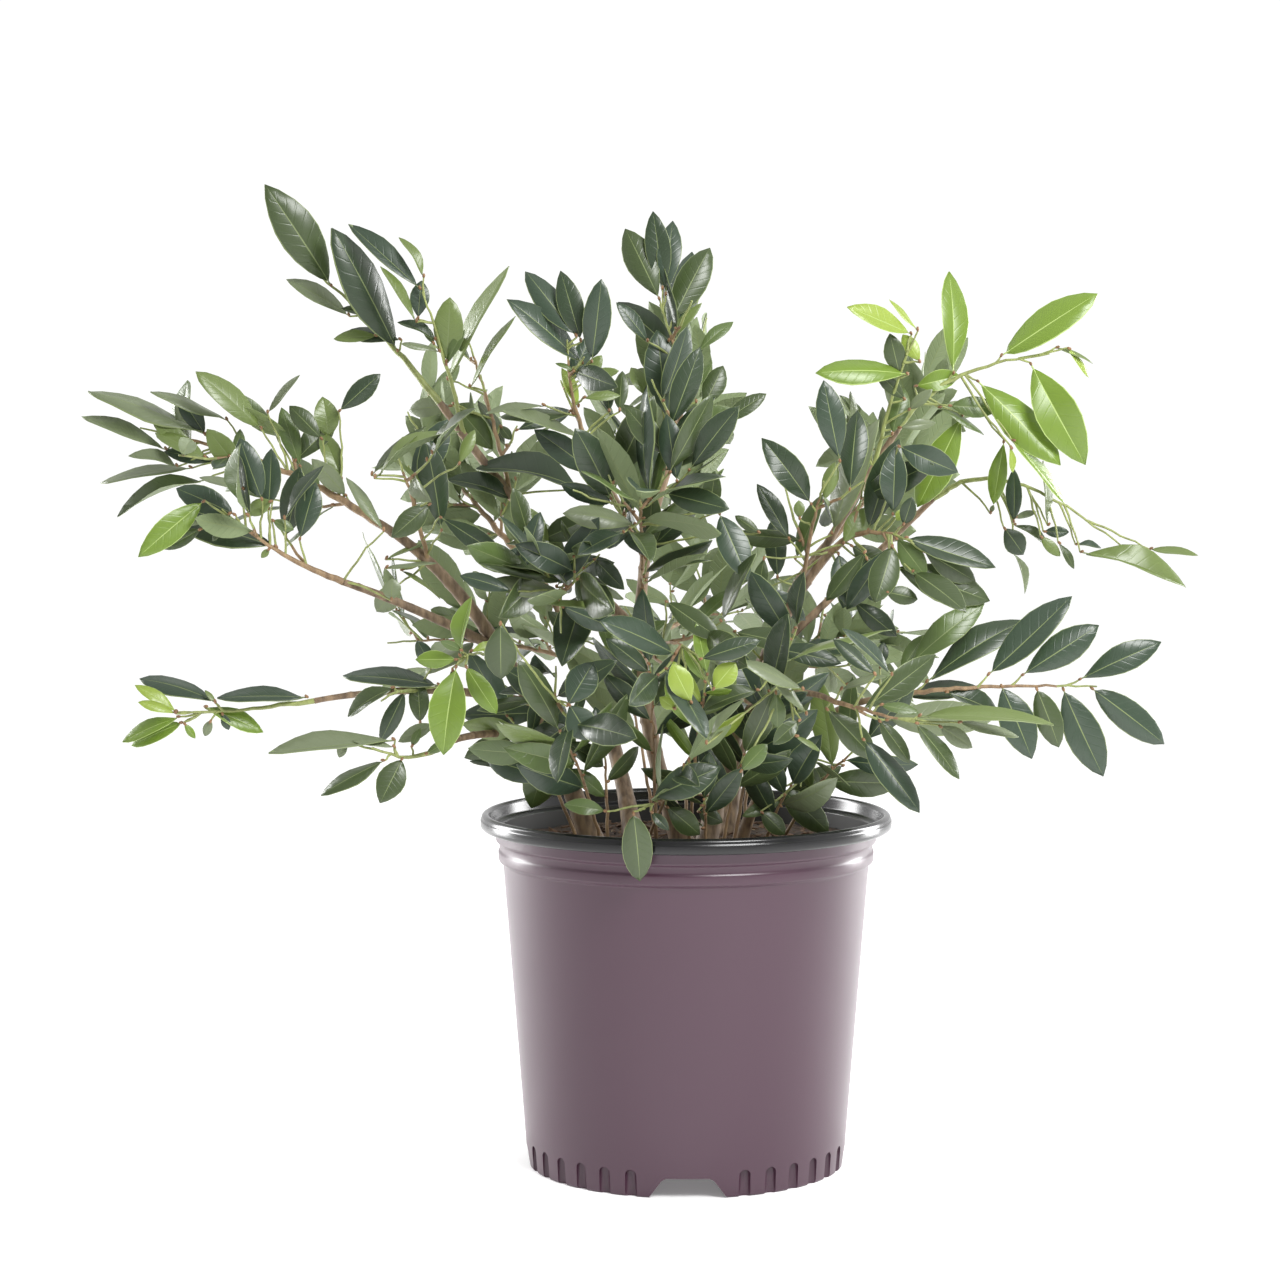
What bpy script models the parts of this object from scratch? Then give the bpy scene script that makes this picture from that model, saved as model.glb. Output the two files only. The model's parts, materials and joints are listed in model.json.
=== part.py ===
"""A young evergreen shrub with alternate leathery leaves, growing in a round nursery pot.

The origin is on the pot's axis, at the flat underside of its foot. The front is -Y.
Stems rise from flat cuts on the soil. Each bough ends where it enters a mass of leaves,
and each mass grows from one stem by the same seeded rule and keeps to its own space.
"""
import math
import random
from collections import namedtuple

import bmesh
import bpy
import numpy as np
from mathutils import Matrix, Vector

# Driving dimensions of the pot, in metres
POT_HEIGHT = 0.241
RIM_RADIUS = 0.140
FOOT_RADIUS = 0.1085
COLLAR_RADIUS = 0.1297
BODY_TOP_RADIUS = 0.1246
BODY_TOP_HEIGHT = 0.2068
WALL = 0.0023
FLOOR_UNDERSIDE = 0.015
FLOOR_TOP = 0.0178
HUB_RADIUS = 0.015
SOIL_HEIGHT = 0.220
NOTCH_HEIGHT = 0.0135
NOTCH_WIDTH_LOW = 0.052
NOTCH_WIDTH_HIGH = 0.032
FLUTE_HEIGHT = 0.0155
FLUTE_WIDTH = 0.0085
FLUTE_DEPTH = 0.0022
FLUTE_ANGLES = (20, 30, 40, 50, 60, 70)
NOTCH_DEPTH = 0.030
FOOT_CHAMFER = 0.0012
FOOT_WALL = 0.0036
HUB_TAPER = 0.002
STEP_RISE = 0.0024
TURNED_STEPS = 40

# The rolled lip and the collar's upper ridge, each inwards from its edge and down from the top
LIP_SECTION = [(0.0072, 0.0090), (0.0058, 0), (0.0015, 0.0002), (0, 0.0022), (0, 0.0088), (0.0016, 0.0106)]
RIDGE_SECTION = [(0, 0.0112), (0, 0.0182), (0.0017, 0.0198)]
LOWER_RIDGE_INSET = 0.0022
COLLAR_DRAFT = 0.0015

# What keeps touching pieces apart, and what keeps leaves off their neighbours
GAP = 0.0003
LEAF_CLEARANCE = 0.0016
LEAF_SPACING = 0.004

# Driving dimensions of the plant
STEM_SIDES = 6
STEM_PIECES = 8
BOUGH_PIECES = 5
TWIG_SIDES = 3
FLARE = 0.45
FLARE_HEIGHT = 0.018
TWIG_STEP = 0.040
TWIG_ANGLE = math.radians(50)
TWIG_SHORTENING = 0.55
TWIG_RISE = 0.22
TWIG_CUTS = (1, 0.8, 0.6, 0.4)
SHORTEST_TWIG = 0.016
TWIG_TIP_RADIUS = 0.0008
TWIG_RADII = (0.0013, 0.0011, TWIG_TIP_RADIUS)
LEADER_RADIUS = 0.0022
SIDE_LEADER_RADIUS = 0.0018
LEADER_PIECES = 5
LEADER_RUN = 0.45
LEADER_RISE = 0.10
LEAF_STEP = 0.0165
FIRST_LEAF = 0.012
FIRST_TWIG_LEAF = 0.016
LEAF_ANGLE = math.radians(52)
TIP_LEAF_ANGLE = 0.12
LEAF_TRIES = 5
RETRY_TURN = 0.12
RETRY_SHRINK = 0.93
SMALLEST_SHARE = 0.82
LEAF_WIDTH_SHARE = 0.36
LEAF_THICKNESS_SHARE = 0.018
LEAF_DROOP_SHARE = 0.07
LEAF_KEEL_SHARE = 0.16
LEAF_ROOT_DEPTH = 0.0004
UPTURN = 0.12
TIP_UPTURN = 0.22
GOLDEN_ANGLE = math.radians(137.5)

# A limb grows from the soil or from a share of the way along another limb, bends once, and tapers.
# Places are across, deep and high from the origin.
Limb = namedtuple("Limb", "name parent share foot through tip foot_radius tip_radius")
LIMBS = [
    Limb("stem_left", None, 0, (-0.062, -0.030),
         (-0.128, -0.025, 0.358), (-0.206, -0.020, 0.438), 0.0068, 0.0030),
    Limb("bough_left", "stem_left", 0.48, None,
         (-0.181, -0.045, 0.382), (-0.227, -0.060, 0.401), 0.0036, 0.0024),
    Limb("bough_low_left", "stem_left", 0.33, None,
         (-0.171, -0.045, 0.328), (-0.247, -0.055, 0.322), 0.0034, 0.0019),
    Limb("bough_lowest_left", "stem_left", 0.25, None,
         (-0.137, -0.090, 0.303), (-0.162, -0.115, 0.296), 0.0030, 0.0019),
    Limb("stem_centre", None, 0, (-0.002, -0.018),
         (-0.031, 0.000, 0.356), (-0.009, 0.015, 0.482), 0.0064, 0.0026),
    Limb("bough_centre_left", "stem_centre", 0.72, None,
         (-0.045, -0.015, 0.449), (-0.064, -0.030, 0.487), 0.0028, 0.0019),
    Limb("bough_upper_left", "stem_centre", 0.52, None,
         (-0.104, 0.025, 0.437), (-0.169, 0.040, 0.519), 0.0044, 0.0026),
    Limb("stem_right", None, 0, (0.012, -0.042),
         (0.050, -0.020, 0.341), (0.096, -0.035, 0.420), 0.0062, 0.0028),
    Limb("bough_right_upper", "stem_right", 0.70, None,
         (0.105, -0.003, 0.440), (0.145, 0.010, 0.503), 0.0032, 0.0022),
    Limb("bough_right_low", None, 0, (0.038, 0.008),
         (0.074, -0.020, 0.292), (0.128, -0.060, 0.324), 0.0036, 0.0020),
    Limb("bough_right_front", "stem_right", 0.36, None,
         (0.067, -0.080, 0.329), (0.091, -0.125, 0.329), 0.0028, 0.0018),
    Limb("stem_back_right", None, 0, (0.030, 0.046),
         (0.058, 0.090, 0.345), (0.110, 0.130, 0.425), 0.0056, 0.0026),
    Limb("bough_right_far", "stem_back_right", 0.45, None,
         (0.128, 0.092, 0.405), (0.175, 0.080, 0.452), 0.0030, 0.0020),
    Limb("stem_back_left", None, 0, (-0.036, 0.042),
         (-0.070, 0.100, 0.335), (-0.120, 0.150, 0.410), 0.0058, 0.0026),
    Limb("bough_back_low", "stem_back_left", 0.40, None,
         (-0.045, 0.130, 0.335), (-0.015, 0.165, 0.352), 0.0028, 0.0019),
]

# A mass of leaves: its limb and the share along it, where its own stem ends, the length of its side
# twigs and leaves, the compass angle and the tilt that it faces, its tint, and the seed of its draws.
Mass = namedtuple("Mass", "name limb share tip twigs leaf faces tilt tint seed")
MASSES = [
    Mass("leaves_upper_left", "bough_upper_left", 1, (-0.257, 0.055, 0.611),
         0.0, 0.078, -90, 10, "dark", 45),
    Mass("leaves_upper_inner", "bough_upper_left", 0.86, (-0.179, 0.015, 0.594),
         0.020, 0.046, -90, 30, "mid", 71),
    Mass("leaves_upper_mid", "bough_upper_left", 0.62, (-0.152, 0.070, 0.565),
         0.040, 0.042, -60, 60, "pale", 15),
    Mass("leaves_left_top", "stem_left", 1, (-0.370, 0.005, 0.502),
         0.062, 0.050, -110, 50, "mid", 106),
    Mass("leaves_left_inner", "stem_left", 0.80, (-0.189, -0.085, 0.485),
         0.055, 0.048, -100, 55, "dark", 28),
    Mass("leaves_left", "bough_left", 1, (-0.302, -0.095, 0.450),
         0.050, 0.055, -110, 35, "dark", 115),
    Mass("leaves_low_left", "bough_low_left", 1, (-0.326, -0.060, 0.314),
         0.0, 0.046, -100, 60, "mid", 67),
    Mass("leaves_low_left_inner", "bough_low_left", 0.55, (-0.199, -0.100, 0.326),
         0.024, 0.042, -100, 40, "dark", 75),
    Mass("leaves_lowest_left", "bough_lowest_left", 1, (-0.202, -0.140, 0.300),
         0.022, 0.048, -90, 30, "dark", 127),
    Mass("leaves_lime_left", "stem_left", 0.42, (-0.143, -0.135, 0.358),
         0.0, 0.064, -80, 10, "lime", 96),
    Mass("leaves_centre_left", "bough_centre_left", 1, (-0.079, -0.060, 0.560),
         0.036, 0.054, -95, 20, "dark", 24),
    Mass("leaves_centre_top", "stem_centre", 1, (-0.018, 0.000, 0.585),
         0.055, 0.060, -85, 20, "dark", 41),
    Mass("leaves_centre_front", "stem_centre", 0.64, (-0.031, -0.145, 0.458),
         0.060, 0.066, -90, 20, "dark", 107),
    Mass("leaves_centre_low", "bough_upper_left", 0.30, (-0.083, -0.125, 0.392),
         0.050, 0.062, -90, 30, "dark", 114),
    Mass("leaves_front_mid", "stem_centre", 0.46, (0.000, -0.165, 0.364),
         0.060, 0.062, -90, 30, "dark", 95),
    Mass("leaves_front_left", "stem_left", 0.24, (-0.082, -0.150, 0.331),
         0.050, 0.062, -95, 20, "dark", 49),
    Mass("leaves_front_low", "stem_right", 0.13, (-0.031, -0.135, 0.259),
         0.020, 0.046, -90, 20, "dark", 127),
    Mass("leaves_front_right", "stem_right", 0.52, (0.064, -0.140, 0.336),
         0.050, 0.060, -85, 30, "dark", 128),
    Mass("leaves_right_inner", "stem_right", 0.80, (0.088, -0.085, 0.468),
         0.055, 0.068, -85, 15, "dark", 27),
    Mass("leaves_right_mid", "stem_right", 1, (0.146, -0.080, 0.429),
         0.050, 0.070, -80, 20, "dark", 120),
    Mass("leaves_right_upper", "bough_right_upper", 1, (0.245, 0.000, 0.552),
         0.026, 0.070, -85, 15, "lime", 124),
    Mass("leaves_right_inner_top", "bough_right_upper", 0.78, (0.148, -0.020, 0.554),
         0.030, 0.054, -90, 25, "lime", 8),
    Mass("leaves_right_far", "bough_right_far", 1, (0.306, 0.060, 0.418),
         0.0, 0.056, -85, 35, "mid", 46),
    Mass("leaves_right_low", "bough_right_low", 1, (0.272, -0.050, 0.331),
         0.0, 0.066, -90, 15, "dark", 28),
    Mass("leaves_right_low_inner", "bough_right_low", 0.55, (0.075, -0.060, 0.265),
         0.030, 0.048, -80, 25, "dark", 107),
    Mass("leaves_right_front", "bough_right_front", 1, (0.141, -0.180, 0.320),
         0.026, 0.064, -85, 30, "dark", 24),
    Mass("leaves_back_right", "stem_back_right", 1, (0.170, 0.215, 0.515),
         0.060, 0.060, 60, 35, "dark", 26),
    Mass("leaves_back_right_low", "stem_back_right", 0.42, (0.165, 0.190, 0.350),
         0.055, 0.060, 40, 35, "dark", 23),
    Mass("leaves_back_centre", "stem_centre", 0.86, (0.015, 0.150, 0.560),
         0.060, 0.060, 90, 35, "dark", 97),
    Mass("leaves_back_left", "stem_back_left", 1, (-0.200, 0.235, 0.500),
         0.060, 0.060, 120, 35, "dark", 120),
    Mass("leaves_back_left_low", "stem_back_left", 0.50, (-0.215, 0.150, 0.345),
         0.055, 0.058, 150, 40, "mid", 66),
    Mass("leaves_back_low", "bough_back_low", 1, (0.020, 0.270, 0.365),
         0.055, 0.060, 90, 35, "dark", 64),
]

TINTS = {
    "dark": (0.030, 0.062, 0.040),
    "mid": (0.075, 0.140, 0.058),
    "pale": (0.150, 0.220, 0.110),
    "lime": (0.215, 0.420, 0.050),
}
BARK = (0.190, 0.105, 0.058)
POT_PURPLE = (0.140, 0.085, 0.115)
SOIL_BROWN = (0.050, 0.028, 0.016)


# Helpers

def clear_scene():
    """Removes what an empty file starts with."""
    for obj in list(bpy.data.objects):
        bpy.data.objects.remove(obj, do_unlink=True)


def collection(name):
    made = bpy.data.collections.new(name)
    bpy.context.scene.collection.children.link(made)
    return made


def material(name, colour, roughness, metallic=0.0):
    made = bpy.data.materials.new(name)
    made.use_nodes = True
    shader = made.node_tree.nodes["Principled BSDF"]
    shader.inputs["Base Color"].default_value = (*colour, 1)
    shader.inputs["Roughness"].default_value = roughness
    shader.inputs["Metallic"].default_value = metallic
    return made


def mesh_object(name, bm, home):
    mesh = bpy.data.meshes.new(name)
    bm.to_mesh(mesh)
    bm.free()
    obj = bpy.data.objects.new(name, mesh)
    home.objects.link(obj)
    return obj


def add_boolean(obj, name, operation, other):
    """other is one mesh object or a collection of them."""
    cut = obj.modifiers.new(name, "BOOLEAN")
    cut.operation = operation
    if isinstance(other, bpy.types.Collection):
        cut.operand_type = "COLLECTION"
        cut.collection = other
    else:
        cut.object = other
    return cut


def made_plain(obj, home):
    """The object with its bevel and modifiers applied, as a closed mesh that faces outwards."""
    bpy.context.view_layer.update()
    graph = bpy.context.evaluated_depsgraph_get()
    mesh = bpy.data.meshes.new_from_object(obj.evaluated_get(graph))
    name, swept = obj.name, obj.type == "CURVE"
    bpy.data.objects.remove(obj, do_unlink=True)
    bm = bmesh.new()
    bm.from_mesh(mesh)
    if swept:
        bmesh.ops.remove_doubles(bm, verts=bm.verts, dist=0.00001)
        bmesh.ops.recalc_face_normals(bm, faces=bm.faces)
    if bm.calc_volume(signed=True) < 0:
        bmesh.ops.reverse_faces(bm, faces=bm.faces)
    bm.to_mesh(mesh)
    bm.free()
    plain = bpy.data.objects.new(name, mesh)
    home.objects.link(plain)
    return plain


def turned(name, profile, home):
    """A solid of revolution. The profile is radius and height, and runs down its outer side."""
    mesh = bpy.data.meshes.new(name)
    edges = [(i, i + 1) for i in range(len(profile) - 1)]
    mesh.from_pydata([(radius, 0, height) for radius, height in profile], edges, [])
    obj = bpy.data.objects.new(name, mesh)
    home.objects.link(obj)
    screw = obj.modifiers.new("turn", "SCREW")
    screw.steps = TURNED_STEPS
    screw.render_steps = TURNED_STEPS
    screw.use_merge_vertices = True
    screw.merge_threshold = 0.00001
    return obj


# Pot and soil

def pot_inner_wall():
    """Radius and height up the inside, from the floor to the ledge under the rim."""
    step = BODY_TOP_HEIGHT + WALL / 2
    return [
        (FOOT_RADIUS - WALL, FLOOR_TOP),
        (BODY_TOP_RADIUS - WALL, step),
        (COLLAR_RADIUS - WALL - COLLAR_DRAFT, step + STEP_RISE),
        (COLLAR_RADIUS - WALL, POT_HEIGHT - LIP_SECTION[-1][1]),
    ]


def pot_outer_wall():
    """Radius and height down the outside, from the rim's underside past two ridges to the foot."""
    ridge = [(COLLAR_RADIUS - inwards, POT_HEIGHT - down) for inwards, down in RIDGE_SECTION]
    return ridge + [
        (COLLAR_RADIUS - LOWER_RIDGE_INSET, BODY_TOP_HEIGHT + STEP_RISE),
        (BODY_TOP_RADIUS, BODY_TOP_HEIGHT),
        (FOOT_RADIUS + FOOT_CHAMFER, FLOOR_TOP),
        (FOOT_RADIUS, FOOT_CHAMFER),
        (FOOT_RADIUS - FOOT_CHAMFER, 0),
    ]


def rim_profile():
    """The rolled lip, from its inner edge over the top and round to its underside."""
    return [(RIM_RADIUS - inwards, POT_HEIGHT - down) for inwards, down in LIP_SECTION]


def make_notch_cutter(angle, home):
    """A block that narrows upwards, across the foot ring."""
    bm = bmesh.new()
    bmesh.ops.create_cube(bm, size=1)
    for vert in bm.verts:
        high = vert.co.z > 0
        vert.co.x = FOOT_RADIUS + vert.co.x * NOTCH_DEPTH
        vert.co.y *= NOTCH_WIDTH_HIGH if high else NOTCH_WIDTH_LOW
        vert.co.z = NOTCH_HEIGHT if high else -GAP
    bmesh.ops.rotate(bm, verts=bm.verts, matrix=Matrix.Rotation(angle, 3, "Z"))
    return mesh_object("cut_notch", bm, home)


def make_flute_cutter(angle, home):
    """An arched hollow in the outside of the foot, open below. No corner of it lies in the underside."""
    bm = bmesh.new()
    bmesh.ops.create_uvsphere(bm, u_segments=6, v_segments=4, radius=1)
    size = (FLUTE_DEPTH, FLUTE_WIDTH / 2, FLUTE_HEIGHT)
    bmesh.ops.scale(bm, verts=bm.verts, vec=size)
    bmesh.ops.translate(bm, verts=bm.verts, vec=(FOOT_RADIUS + GAP, 0, GAP))
    bmesh.ops.rotate(bm, verts=bm.verts, matrix=Matrix.Rotation(angle, 3, "Z"))
    return mesh_object("cut_flute", bm, home)


def make_pot(home, cutters):
    """A thin turned shell on a foot ring, with a hub under its raised floor and notches for water."""
    foot_inside = FOOT_RADIUS - FOOT_WALL
    base = [
        (foot_inside, 0),
        (foot_inside, FLOOR_UNDERSIDE),
        (HUB_RADIUS + HUB_TAPER, FLOOR_UNDERSIDE),
        (HUB_RADIUS, 0),
        (0, 0),
    ]
    profile = [(0, FLOOR_TOP)] + pot_inner_wall() + rim_profile() + pot_outer_wall() + base
    pot = turned("pot", profile, home)
    for quarter in range(4):
        start = quarter * math.pi / 2
        make_notch_cutter(start, cutters)
        for degrees in FLUTE_ANGLES:
            make_flute_cutter(start + math.radians(degrees), cutters)
    for cutter in cutters.objects:
        cutter.hide_render = True
        cutter.display_type = "WIRE"
    add_boolean(pot, "foot cuts", "DIFFERENCE", cutters)
    pot.data.materials.append(material("pot_purple", POT_PURPLE, 0.30))
    return pot


def make_soil(home):
    """The potting mix, level on top, filling the pot to just below its rim."""
    inner = pot_inner_wall()
    lower, upper = inner[2], inner[3]
    share = (SOIL_HEIGHT - lower[1]) / (upper[1] - lower[1])
    edge = lower[0] + share * (upper[0] - lower[0])
    profile = [(0, SOIL_HEIGHT), (edge - GAP, SOIL_HEIGHT)]
    profile += [(radius - GAP, height) for radius, height in reversed(inner[1:3])]
    profile += [(inner[0][0] - GAP, FLOOR_TOP + GAP), (0, FLOOR_TOP + GAP)]
    soil = turned("soil", profile, home)
    soil.data.materials.append(material("soil_brown", SOIL_BROWN, 0.95))
    return soil


# Paths that limbs and twigs follow

def bend(start, control, end, pieces):
    """Points of a curve that leaves start towards the control point and runs in to the end."""
    shares = [i / pieces for i in range(pieces + 1)]
    return [start * (1 - t) ** 2 + control * (2 * t * (1 - t)) + end * t ** 2 for t in shares]


def on_path(path, share):
    """The point and the direction at a share of the way along a path's pieces."""
    place = min(max(share, 0), 1) * (len(path) - 1)
    piece = min(int(place), len(path) - 2)
    point = path[piece].lerp(path[piece + 1], place - piece)
    return point, (path[piece + 1] - path[piece]).normalized()


def path_length(path):
    return sum((b - a).length for a, b in zip(path, path[1:]))


def limb_path(limb, paths):
    """The limb's curve, from the soil or its parent limb through its bend to its tip."""
    if limb.parent:
        start, _ = on_path(paths[limb.parent], limb.share)
    else:
        start = Vector((*limb.foot, SOIL_HEIGHT + GAP))
    through, tip = Vector(limb.through), Vector(limb.tip)
    pieces = BOUGH_PIECES if limb.parent else STEM_PIECES
    return bend(start, 2 * through - (start + tip) / 2, tip, pieces)


def limb_radii(limb, path):
    """Tapering along the limb, with a flare at the foot of a stem."""
    radii = []
    for i, point in enumerate(path):
        share = i / (len(path) - 1)
        radius = limb.foot_radius + (limb.tip_radius - limb.foot_radius) * share
        if not limb.parent:
            radius *= 1 + FLARE * math.exp(-(point.z - SOIL_HEIGHT) / FLARE_HEIGHT)
        radii.append(radius)
    return radii


def leader_path(mass, paths):
    """The stem inside a mass. At a limb's tip it carries on in line, and elsewhere it branches off."""
    tip = Vector(mass.tip)
    limb = paths[mass.limb]
    start, direction = on_path(limb, mass.share)
    reach = (tip - start).length
    if mass.share == 1:
        start = start + direction * GAP
        control = start + direction * reach * LEADER_RUN
    else:
        control = (start + tip) / 2 + Vector((0, 0, reach * LEADER_RISE))
    return bend(start, control, tip, LEADER_PIECES)


# The rule of growth

Leaf = namedtuple("Leaf", "root along face length width")


class Space:
    """Which mass each point of the crown belongs to, and where the limbs run."""

    def __init__(self, leaders, limbs):
        starts, ends, owners = [], [], []
        for name, path in leaders.items():
            starts += path[:-1]
            ends += path[1:]
            owners += [name] * (len(path) - 1)
        self.leaders = (np.array(starts), np.array(ends))
        self.owners = np.array(owners)
        starts, ends, radii = [], [], []
        for path, widths in limbs:
            starts += path[:-1]
            ends += path[1:]
            radii += widths[:-1]
        self.limbs = (np.array(starts), np.array(ends))
        self.limb_radii = np.array(radii)

    @staticmethod
    def distances(points, segments):
        """How far each point is from each straight piece."""
        start, end = segments
        run = end - start
        offset = points[:, None, :] - start[None, :, :]
        share = np.clip((offset * run).sum(axis=2) / (run * run).sum(axis=1), 0, 1)
        return np.linalg.norm(offset - share[:, :, None] * run, axis=2)

    def holds(self, name, points):
        """Whether all points are nearer to their own mass than to others, and clear of limbs and pot."""
        points = np.array(points)
        far = self.distances(points, self.leaders)
        mine = self.owners == name
        if (far[:, mine].min(axis=1) + LEAF_CLEARANCE > far[:, ~mine].min(axis=1)).any():
            return False
        clear = self.distances(points, self.limbs) - self.limb_radii
        low = points[:, 2] < POT_HEIGHT + 0.002
        near = np.hypot(points[:, 0], points[:, 1]) < RIM_RADIUS + 0.002
        return clear.min() > LEAF_CLEARANCE and not (low & near).any()


def across(direction, facing):
    """The side and the face of a shoot that runs along direction and shows its face to facing."""
    face = (facing - direction * facing.dot(direction)).normalized()
    return direction.cross(face), face


def facing_of(mass):
    """The direction that the mass's leaves show their faces to."""
    angle, tilt = math.radians(mass.faces), math.radians(mass.tilt)
    level = math.cos(tilt)
    return Vector((math.cos(angle) * level, math.sin(angle) * level, math.sin(tilt)))


def grow_twigs(mass, leader, space, rng):
    """Side twigs that turn by the golden angle and shorten towards the tip."""
    twigs = []
    facing = facing_of(mass)
    count = round(path_length(leader) / TWIG_STEP) if mass.twigs else 0
    roll = rng.uniform(0, 2 * math.pi)
    for i in range(count):
        share = (i + 0.7) / (count + 0.4)
        root, direction = on_path(leader, share)
        side, face = across(direction, facing)
        turn = roll + i * GOLDEN_ANGLE
        out = side * math.cos(turn) + face * math.sin(turn)
        way = (direction * math.cos(TWIG_ANGLE) + out * math.sin(TWIG_ANGLE)).normalized()
        full = mass.twigs * (1 - TWIG_SHORTENING * share) * rng.uniform(0.85, 1.15)
        for cut in TWIG_CUTS:
            length = full * cut
            tip = root + (way + Vector((0, 0, TWIG_RISE))).normalized() * length
            middle = root + way * length * 0.5
            far_part = bend(root, middle, tip, 6)[2:]
            if length > SHORTEST_TWIG and space.holds(mass.name, far_part):
                twigs.append(bend(root, middle, tip, 2))
                break
    return twigs


def leaf_points(leaf):
    """Where a leaf is tested: along its rib, and along both margins."""
    side = leaf.along.cross(leaf.face) * leaf.width * 0.5
    points = [leaf.root + leaf.along * leaf.length * share for share in (0.15, 0.4, 0.6, 0.8, 1.0)]
    for share in (0.3, 0.5, 0.72):
        middle = leaf.root + leaf.along * leaf.length * share
        points += [middle + side, middle - side]
    return points


def fits(leaf, mass, space, grown):
    """Whether a leaf keeps to its mass's space and off the leaves grown so far."""
    points = leaf_points(leaf)
    if not space.holds(mass.name, points):
        return False
    if not grown:
        return True
    apart = np.linalg.norm(np.array(points)[:, None, :] - np.array(grown)[None, :, :], axis=2)
    return apart.min() > LEAF_SPACING


def leaf_on(root, direction, side, face, angle, length, rng):
    """A leaf at an angle to its shoot, leaning a little towards the light."""
    lean = rng.uniform(-0.2, 0.25)
    lift = Vector((0, 0, TIP_UPTURN if angle < LEAF_ANGLE / 2 else UPTURN))
    along = (direction * math.cos(angle) + side * math.sin(angle) + face * lean + lift).normalized()
    face = (face - along * face.dot(along)).normalized()
    face = Matrix.Rotation(rng.uniform(-0.5, 0.5), 3, along) @ face
    return Leaf(root - along * LEAF_ROOT_DEPTH, along, face, length, length * LEAF_WIDTH_SHARE)


def grow_leaves(mass, shoots, space, rng):
    """Alternate leaves in two ranks along every shoot, and one at its tip."""
    leaves, grown = [], []
    facing = facing_of(mass)
    for order, path in enumerate(shoots):
        length = path_length(path)
        first = FIRST_TWIG_LEAF if order else FIRST_LEAF
        count = max(1, int((length - first) / LEAF_STEP) + 1)
        tip, direction = on_path(path, 1)
        side, face = across(direction, facing)
        wanted = [(tip, direction, side * rng.choice((-1, 1)), face, TIP_LEAF_ANGLE, 1.0)]
        for i in reversed(range(count)):
            share = (first + i * LEAF_STEP) / length
            if share > 0.94:
                continue
            root, direction = on_path(path, share)
            side, face = across(direction, facing)
            rank = 1 if (i + order) % 2 else -1
            size = SMALLEST_SHARE + (1 - SMALLEST_SHARE) * math.sin(math.pi * share)
            wanted.append((root, direction, side * rank, face, LEAF_ANGLE, size))
        for root, direction, side, face, angle, size in wanted:
            scale = mass.leaf * size * rng.uniform(0.88, 1.12)
            for attempt in range(LEAF_TRIES):
                turned_side = Matrix.Rotation(rng.uniform(-0.5, 0.5) * attempt, 3, direction) @ side
                open_angle = angle + RETRY_TURN * attempt
                leaf = leaf_on(root, direction, turned_side, face, open_angle, scale, rng)
                if fits(leaf, mass, space, grown):
                    leaves.append(leaf)
                    grown += leaf_points(leaf)
                    break
                scale *= RETRY_SHRINK
    return leaves


# Solids of limbs, twigs and leaves

def section(sides):
    """A round section of unit radius, which a path sweeps and each of its points scales."""
    curve = bpy.data.curves.new(f"section_{sides}", "CURVE")
    spline = curve.splines.new("POLY")
    spline.points.add(sides - 1)
    for i, point in enumerate(spline.points):
        angle = 2 * math.pi * i / sides
        point.co = (math.cos(angle), math.sin(angle), 0, 1)
    spline.use_cyclic_u = True
    return bpy.data.objects.new(curve.name, curve)


def sweep(name, path, radii, profile, home):
    """A tapering round solid along a path, with closed ends."""
    curve = bpy.data.curves.new(name, "CURVE")
    curve.dimensions = "3D"
    curve.bevel_mode = "OBJECT"
    curve.bevel_object = profile
    curve.use_fill_caps = True
    spline = curve.splines.new("POLY")
    spline.points.add(len(path) - 1)
    for point, place, radius in zip(spline.points, path, radii):
        point.co = (*place, 1)
        point.radius = radius
    obj = bpy.data.objects.new(name, curve)
    home.objects.link(obj)
    return made_plain(obj, home)


def make_blade(leaf, home):
    """One leaf: a six-cornered outline, crowned above, keeled below, drooping to its tip."""
    bm = bmesh.new()
    bmesh.ops.create_uvsphere(bm, u_segments=6, v_segments=2, radius=0.5)
    side = leaf.face.cross(leaf.along)
    for vert in bm.verts:
        along = vert.co.y + 0.5
        if vert.co.z < -0.1:
            along = LEAF_KEEL_SHARE
        sag = LEAF_DROOP_SHARE * along ** 2
        up = leaf.length * (LEAF_THICKNESS_SHARE * vert.co.z - sag)
        out = -vert.co.x * leaf.width / math.cos(math.pi / 6)
        vert.co = leaf.root + leaf.along * along * leaf.length + side * out + leaf.face * up
    return mesh_object("leaf", bm, home)


def make_limb(limb, path, radii, guards, profile, home):
    """One tapering limb, cut flat at the soil or hollowed to fit the limb that carries it."""
    if limb.parent:
        obj = sweep(limb.name, path, radii, profile, home)
        add_boolean(obj, "joint", "DIFFERENCE", guards[limb.parent])
    else:
        below = path[0] + (path[0] - path[1])
        obj = sweep(limb.name, [below] + path, [radii[0] * 1.1] + radii, profile, home)
        add_boolean(obj, "flat cut", "DIFFERENCE", guards["ground"])
    return made_plain(obj, home)


def make_ground_cutter(home):
    bm = bmesh.new()
    bmesh.ops.create_cube(bm, size=0.3)
    bmesh.ops.translate(bm, verts=bm.verts, vec=(0, 0, SOIL_HEIGHT + GAP - 0.15))
    return mesh_object("cut_ground", bm, home)


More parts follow.
